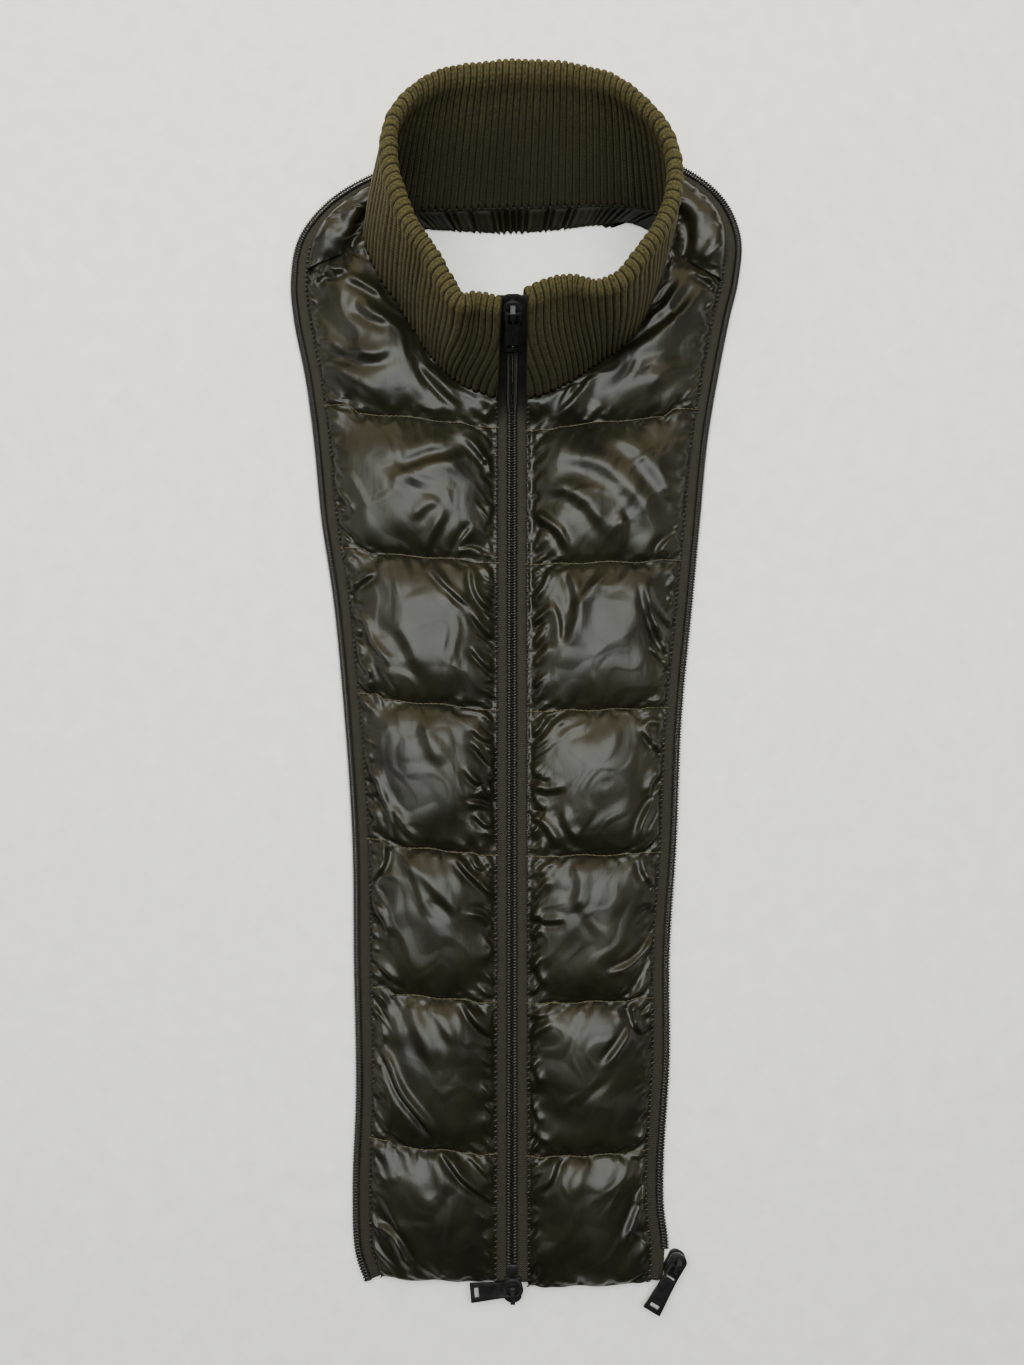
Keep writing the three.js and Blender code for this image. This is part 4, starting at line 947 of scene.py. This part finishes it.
def buildCollar():
    count = collar["ribs"] * collar["perRib"] + 1
    dense = smoothLine([row[:2] for row in collarRows], 60)
    rimDense = smoothLine([row[2:4] for row in collarRows], 60)
    topDense = smoothLine([(row[0], row[1], row[4]) for row in collarRows], 60)[:, 2]
    sums = lengthsAlong(dense)
    stops = np.linspace(0, sums[-1], count)
    base = pointsAt(dense, stops)
    rim = np.stack([np.interp(stops, sums, rimDense[:, k]) for k in range(2)], 1)
    closer = collar["overTape"] * (np.exp(-stops / 7) - np.exp(-(sums[-1] - stops) / 7))
    base[:, 0] += closer
    rim[:, 0] += closer
    top = np.interp(stops, sums, topDense)
    baseOut = movedRight(base, -1) - base
    rimOut = movedRight(rim, -1) - rim
    section, walk = collarWalk()
    each = np.random.default_rng(4).uniform(0.75, 1.15, collar["ribs"] + 8)
    lean = np.interp(stops, *zip(*ribLean["left"])) - np.interp(sums[-1] - stops, *zip(*ribLean["right"]))
    lean *= collar["ribs"] / sums[-1]
    straight = np.arange(count) / collar["perRib"]
    sway = ripples(np.column_stack([straight * 4, np.zeros(count)]), 38, 17)
    points, coordinates, rise, inside = [], [], [], []
    for (upMm, out), walked in zip(section, walk):
        up = min(max(upMm / collar["section"], 0), 1.02)
        arch = math.sin(math.pi * min(up, 1))
        away = baseOut + (rimOut - baseOut) * up
        away /= np.linalg.norm(away, axis=1)[:, None]
        overRim = smoothStep(up, 0.955, 1.0)
        ribAt = straight - (lean * (1 - smoothStep(up, 0, 0.72)) if out > 0 else 0)
        fromMiddle = np.abs(ribAt % 1 - 0.5) * 2
        ribShape = (1.85 * (1 - fromMiddle ** 3.0) * each[np.floor(ribAt).astype(int) + 4] - 1.35) * collar["raise"]
        facing = np.clip(out / 1.6, -1, 1)
        shift = out + facing * ribShape * (1 - 0.2 * overRim) + collar["bulge"] * arch
        shift = shift + sway * collar["sway"] * math.sin(math.pi * min(up, 1) * 0.9)
        z = collar["base"] + (top - collar["base"]) * up + overRim * (1 - np.abs(facing)) * ribShape
        points.append(np.column_stack([base + (rim - base) * up + away * shift[:, None], z]))
        coordinates.append(np.column_stack([ribAt, np.full(count, walked)]))
        rise.append(np.full(count, up))
        inside.append(np.full(count, float(smoothStep(-out, -1, 2.5))))
    rows = len(points)
    foot = (rows - 1) * count
    faces = gridFaces(rows, count)
    faces += [(j, foot + j, foot + j + 1, j + 1) for j in range(count - 1)]  # under the wall
    faces += [[i * count + end for i in range(rows)] for end in (0, count - 1)]
    made = meshObject("rib_collar", np.concatenate(points), faces, rib, np.concatenate(coordinates))
    # rise and inside let the knit's material paint shade low on the inside wall and light towards the rim
    for label, values in (("rise", rise), ("inside", inside)):
        attribute = made.data.attributes.new(label, "FLOAT", "POINT")
        attribute.data.foreach_set("value", np.concatenate(values).astype(np.float32))
    print("collar made,", len(faces), "faces")
    return made


collarWall = buildCollar()

# Zip tapes: woven bands swept along a line

tapeSize = {"thick": 1.0, "hem": 0.6, "turnStart": 451.5, "turnRadius": 8, "lean": math.radians(22), "collarTop": 76,
            "shift": 0.5, "inside": 0.03, "chainHalf": 3.2, "flatHalf": 8.9, "collarLow": 9.0,
            "collarHigh": {"left": 6.9, "right": 7.4}, "sink": 0.8, "across": 11, "edge": (2.4, 10.2), "edgeTeeth": 4.7}


def band(name, middle, across, up, inside, outside, underTeeth):
    # inside and outside are the band's two edges, measured across from the line; under the teeth it lies lower
    steps = len(middle)
    sums = np.concatenate([[0], np.cumsum(np.linalg.norm(np.diff(middle, axis=0), axis=1))])
    shares = np.linspace(0, 1, tapeSize["across"])
    loop = [(s, half * math.sin(math.pi * (0.12 + 0.76 * s)) ** 0.3)
            for half, walk in ((0.5, shares), (-0.5, shares[::-1])) for s in walk]
    points, coordinates = [], []
    for s, u in loop:
        offset = inside + (outside - inside) * s
        sink = tapeSize["sink"] * (1 - smoothStep(offset, underTeeth - 0.5, underTeeth + 0.3))
        lift = np.reshape(u * tapeSize["thick"] - sink, (-1, 1))
        points.append(middle + across * np.reshape(offset, (-1, 1)) + up * lift)
        coordinates.append(np.column_stack([np.broadcast_to(offset, steps) + 20, sums]))
    size = len(loop)
    points = np.stack(points, 1).reshape(-1, 3)
    coordinates = np.stack(coordinates, 1).reshape(-1, 2)
    faces = []
    for first in range(0, (steps - 1) * size, size):
        for j in range(size):
            k = (j + 1) % size
            faces.append((first + j, first + k, first + size + k, first + size + j))
    faces += [[first + j for j in range(size)] for first in (0, (steps - 1) * size)]
    return meshObject(name, points, faces, tape, coordinates)


def flatFrame(line, height):
    along = np.gradient(line, axis=0)
    along /= np.linalg.norm(along, axis=1)[:, None]
    middle = np.column_stack([line, np.broadcast_to(height, len(line))])
    right = np.column_stack([along[:, 1], -along[:, 0], np.zeros(len(line))])
    return middle, right, np.tile([0.0, 0, 1], (len(line), 1))


def centreFrame(start, topHeight, steps=260):
    # flat along the body, round the turn, then up the collar
    bend = math.pi / 2 - tapeSize["lean"]
    rows = [(y, zipMiddle, 0.0) for y in np.linspace(start, tapeSize["turnStart"], steps)]
    for angle in np.linspace(0, bend, 14)[1:]:
        rows.append((tapeSize["turnStart"] + tapeSize["turnRadius"] * math.sin(angle),
                     zipMiddle + tapeSize["turnRadius"] * (1 - math.cos(angle)), angle))
    turnY, turnZ, angle = rows[-1]
    for z in np.linspace(turnZ, topHeight, 40)[1:]:
        rows.append((turnY + (z - turnZ) * math.tan(tapeSize["lean"]), z, angle))
    y, z, angle = np.array(rows).T
    share = np.clip((z - turnZ) / (tapeSize["collarTop"] - turnZ), 0, 1)
    middle = np.column_stack([tapeSize["shift"] * share, y, z])
    right = np.tile([1.0, 0, 0], (len(rows), 1))
    up = np.column_stack([np.zeros(len(rows)), -np.sin(angle), np.cos(angle)])
    return middle, right, up, share


edgeFrame = flatFrame(edgeLine, zipMiddle + 0.12 * ripples(edgeLine, 22, 3))
edgeTape = band("edge_zip_tape", *edgeFrame, *tapeSize["edge"], tapeSize["edgeTeeth"])


def centreTape(name, hand, side):
    # level with the fabric up the body, then as wide as the opening in the collar
    middle, right, up, share = centreFrame(tapeSize["hem"], tapeSize["collarTop"])
    turned = smoothStep(middle[:, 1], tapeSize["turnStart"] - 2, tapeSize["turnStart"] + 7)
    opening = tapeSize["collarLow"] + (tapeSize["collarHigh"][hand] - tapeSize["collarLow"]) * share
    outer = tapeSize["flatHalf"] + (opening - tapeSize["flatHalf"]) * turned
    return band(name, middle, side * right, up, tapeSize["inside"], outer, tapeSize["chainHalf"])


leftTape = centreTape("centre_zip_tape_left", "left", -1)
rightTape = centreTape("centre_zip_tape_right", "right", 1)
print("tapes made")

# Zip teeth and stitches follow their lines by Geometry Nodes


def newTree(name, labels):
    # the tree, its sockets' keys, what they give inside it, and the line as a curve that stands upright
    tree = bpy.data.node_groups.new(name, "GeometryNodeTree")
    kinds = {"Geometry": "NodeSocketGeometry", "Seed": "NodeSocketInt"}
    keys = {}
    for label in ("Geometry", *labels):
        kind = kinds.get(label, "NodeSocketFloat")
        keys[label] = tree.interface.new_socket(name=label, in_out="INPUT", socket_type=kind).identifier
    tree.interface.new_socket(name="Geometry", in_out="OUTPUT", socket_type="NodeSocketGeometry")
    given = addNode(tree, "NodeGroupInput", {}).outputs
    curve = addNode(tree, "GeometryNodeMeshToCurve", {0: given["Geometry"]}).outputs[0]
    upright = addNode(tree, "GeometryNodeSetCurveNormal", {"Curve": curve}, mode="Z_UP").outputs[0]
    return tree, keys, given, upright


def closedTree(tree, made, material):
    solid = addNode(tree, "GeometryNodeRealizeInstances", {0: made}).outputs[0]
    coloured = addNode(tree, "GeometryNodeSetMaterial", {"Geometry": solid, "Material": material}).outputs[0]
    addNode(tree, "NodeGroupOutput", {0: coloured})


def changed(tree, geometry, way, parts):
    vector = addNode(tree, "ShaderNodeCombineXYZ", dict(enumerate(parts))).outputs[0]
    return addNode(tree, "GeometryNodeTransform", {"Geometry": geometry, way: vector}).outputs[0]


def tubeOf(tree, curve, radius, sides):
    circle = addNode(tree, "GeometryNodeCurvePrimitiveCircle", {"Resolution": sides, "Radius": radius}).outputs[0]
    inputs = {"Curve": curve, "Profile Curve": circle, "Fill Caps": True}
    return addNode(tree, "GeometryNodeCurveToMesh", inputs).outputs[0]


def placedAlong(tree, curve, pitch, thing, scale=(1, 1, 1)):
    points = addNode(tree, "GeometryNodeCurveToPoints", {"Curve": curve, "Length": pitch}, mode="LENGTH").outputs
    inputs = {"Points": points["Points"], "Instance": thing, "Rotation": points["Rotation"], "Scale": scale}
    return addNode(tree, "GeometryNodeInstanceOnPoints", inputs).outputs[0]


def coilTree(name, material):
    # a ring of wire at each pitch, leaning along the line
    tree, keys, given, curve = newTree(name, ["Pitch", "Half Width", "Half Height", "Wire", "Lean"])
    ring = addNode(tree, "GeometryNodeCurvePrimitiveCircle", {"Resolution": 10, "Radius": 1.0}).outputs[0]
    ring = changed(tree, ring, "Scale", (given["Half Width"], given["Half Height"], 1.0))
    ring = changed(tree, ring, "Rotation", (0.0, given["Lean"], 0.0))
    closedTree(tree, placedAlong(tree, curve, given["Pitch"], tubeOf(tree, ring, given["Wire"], 5)), material)
    return tree, keys


def cordTree(name, material):
    # the filler cord that the coil is wound round
    tree, keys, given, curve = newTree(name, ["Radius"])
    closedTree(tree, tubeOf(tree, curve, given["Radius"], 6), material)
    return tree, keys


def stitchTree(name, material):
    # short thread bumps along a line, turned by an angle, each a little different
    tree, keys, given, curve = newTree(name, ["Pitch", "Long", "Thick", "Turn", "Uneven", "Seed"])
    bead = addNode(tree, "GeometryNodeMeshUVSphere", {"Segments": 8, "Rings": 6, "Radius": 0.5}).outputs["Mesh"]
    bead = changed(tree, bead, "Scale", (given["Thick"], given["Thick"], given["Long"]))
    bead = changed(tree, bead, "Rotation", (0.0, given["Turn"], 0.0))
    low, high = (addNode(tree, "ShaderNodeMath", {0: 1.0, 1: given["Uneven"]}, operation=way).outputs[0]
                 for way in ("SUBTRACT", "ADD"))
    inputs = {2: low, 3: high, "Seed": given["Seed"]}
    chance = addNode(tree, "FunctionNodeRandomValue", inputs, data_type="FLOAT").outputs[1]
    closedTree(tree, placedAlong(tree, curve, given["Pitch"], bead, chance), material)
    return tree, keys


def grown(name, lines, treeAndKeys, values):
    # a tree run along some lines, then turned into a plain mesh
    points, edges = [], []
    for line in lines:
        first = len(points)
        points += inRow(line).tolist()
        edges += [(first + k, first + k + 1) for k in range(len(line) - 1)]
    mesh = bpy.data.meshes.new(name)
    mesh.from_pydata(points, edges, [])
    made = added(name, mesh)
    tree, keys = treeAndKeys
    grower = made.modifiers.new("grower", "NODES")
    grower.node_group = tree
    for label, value in values.items():
        grower[keys[label]] = value
    applied(made)
    print(name, "has", len(made.data.polygons), "faces")
    return made


edgeTeeth = {"Pitch": 1.5 * mm, "Half Width": 1.85 * mm, "Half Height": 0.95 * mm, "Wire": 0.4 * mm, "Lean": 0.14}
chainTeeth = {"Pitch": 1.5 * mm, "Half Width": 1.3 * mm, "Half Height": 0.92 * mm, "Wire": 0.4 * mm, "Lean": 0.3}
coilPath = {"edgeMiddle": 2.25, "edgeShare": 0.989, "chainStart": 9.8, "chainTop": 67.5, "chainMiddle": 1.5,
            "halfPitch": 0.75, "cord": 0.75}

coils = coilTree("zip_coil", coil)
coilLine = movedRight(edgeLine, coilPath["edgeMiddle"])[: int(len(edgeLine) * coilPath["edgeShare"])]
edgeRow = np.column_stack([coilLine, np.full(len(coilLine), zipMiddle)])
edgeCoil = grown("edge_zip_coil", [edgeRow], coils, edgeTeeth)
middle, right, _, _ = centreFrame(coilPath["chainStart"], coilPath["chainTop"])
leftRow, rightRow = (middle + side * right * coilPath["chainMiddle"] for side in (-1, 1))
rightRow[0, 1] += coilPath["halfPitch"]
leftCoil = grown("centre_zip_coil_left", [leftRow], coils, chainTeeth)
rightCoil = grown("centre_zip_coil_right", [rightRow], coils, {**chainTeeth, "Lean": -chainTeeth["Lean"]})
fillers = [leftRow, rightRow, *(movedRight(edgeRow, side * coilPath["cord"]) for side in (-1, 1))]
zipCord = grown("zip_filler_cord", fillers, cordTree("zip_cord", cord), {"Radius": 0.62 * mm})

seamStitch = {"Pitch": 2.7 * mm, "Long": 2.9 * mm, "Thick": 0.62 * mm, "Turn": 0.08, "Uneven": 0.12, "Seed": 3}
edgeStitch = {"Pitch": 2.7 * mm, "Long": 2.3 * mm, "Thick": 0.85 * mm, "Turn": 1.1, "Uneven": 0.25, "Seed": 7}
stitchPath = {"seamLift": 0.7, "edgeLift": 0.3, "edgeInset": 0.5}


def alongEdge(top, column, beside):
    # a line just inside an edge of a blown up panel, on its surface
    edge = top[:, column]
    span = top[:, beside] - edge
    length = np.linalg.norm(span, axis=1)[:, None]
    line = edge + span * np.minimum(stitchPath["edgeInset"] / np.maximum(length, 1e-6), 1.2)
    line[:, 2] += stitchPath["edgeLift"]
    return line


def seamLines(top, sewn):
    lines = []
    for k in sewn[(sewn > 0) & (sewn < len(top) - 1)]:
        line = top[k].copy()
        line[:, 2] += stitchPath["seamLift"]
        lines.append(line[::-1] if line[0, 0] > line[-1, 0] else line)
    return lines


seamThread = grown("baffle_stitching", seamLines(leftTop, leftSewn) + seamLines(rightTop, rightSewn),
                   stitchTree("seam_stitches", ochreThread), seamStitch)
besideZip = [top[: int(np.argmax(top[:, 0, 1] > zipTop - 1))] for top in (leftTop, rightTop)]
edgeLines = [alongEdge(top, 0, 3) for top in besideZip] + [alongEdge(top, -1, -4) for top in (leftTop, rightTop)]
edgeLines.append(alongEdge(yokeTop, -1, -3))
edgeThread = grown("edge_stitching", edgeLines, stitchTree("edge_stitches", darkThread), edgeStitch)
print("teeth and stitching grown")

# Sliders, pulls and the pin block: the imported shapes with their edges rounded

sliderRound, tabRound, sharpFrom = 0.3 * mm, 0.28 * mm, math.radians(32)
rounding = {"segments": 2, "limit_method": "ANGLE", "angle_limit": math.radians(28), "harden_normals": False}
hardware = [
    ("top_slider", "slider_top", sliderRound, "garment"), ("top_pull", "tab_top", tabRound, "pull_top"),
    ("bottom_slider", "slider_bottom", sliderRound, "garment"), ("bottom_pull", "tab_bottom", tabRound, "pull_bottom"),
    ("edge_slider", "slider_edge", sliderRound, "garment"), ("edge_pull", "tab_edge", tabRound, "pull_edge"),
    ("pin_stop", "pin_block", sliderRound, "garment"),
]


def softenedCopy(name, node, width):
    made = added(name, frame["nodes"][node].data.copy())
    made.data.materials.clear()
    made.data.materials.append(enamel)
    outward(made, plain=True)
    setAll(made.modifiers.new("bevel", "BEVEL"), {"width": width, **rounding})
    applied(made)
    made.data.set_sharp_from_angle(angle=sharpFrom)
    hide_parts(node)
    return made


for name, node, width, body in hardware:
    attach(softenedCopy(name, node, width), body)
print("sliders and pulls rounded")

# Floor

floor = {"half": 3.0, "dark": (0.82, 0.812, 0.798), "light": (0.9, 0.892, 0.878), "relief": 1.2 * mm}


def addFloor():
    data = bpy.data.meshes.new("floor")
    half = floor["half"]
    data.from_pydata([(-half, -half, 0), (half, -half, 0), (half, half, 0), (-half, half, 0)], [], [(0, 1, 2, 3)])
    look = Look("pale_floor")
    data.materials.append(look.finished({
        "Base Color": look.blend(look.spread(look.noise(90, 5), 0, 1), floor["dark"], floor["light"]),
        "Normal": look.bump(look.noise(160, 4), floor["relief"], 0.25), "Roughness": 0.95,
    }))
    added("floor", data)


addFloor()

# Each piece rides on the garment, and the imported parts that it stands for are hidden

pieces = [
    (leftPad, "nylon", ["front_left"]), (rightPad, "nylon", ["front_right"]), (yokePad, "nylon", ["back_yoke"]),
    (collarWall, "rib_knit", ["collar"]), (edgeTape, "zip_tape", ["edge_tape"]),
    (leftTape, "zip_tape", ["centre_tape_left"]), (rightTape, "zip_tape", ["centre_tape_right"]),
    (edgeCoil, "zip_coil", ["edge_coil"]), (leftCoil, "zip_coil", ["centre_chain"]),
    (rightCoil, "zip_coil", ["centre_chain"]), (zipCord, "zip_coil", []),
    (seamThread, "nylon", []), (edgeThread, "nylon", []),
]
for thing, slotName, nodes in pieces:
    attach(thing, "garment")
    if nodes:
        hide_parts(*nodes)
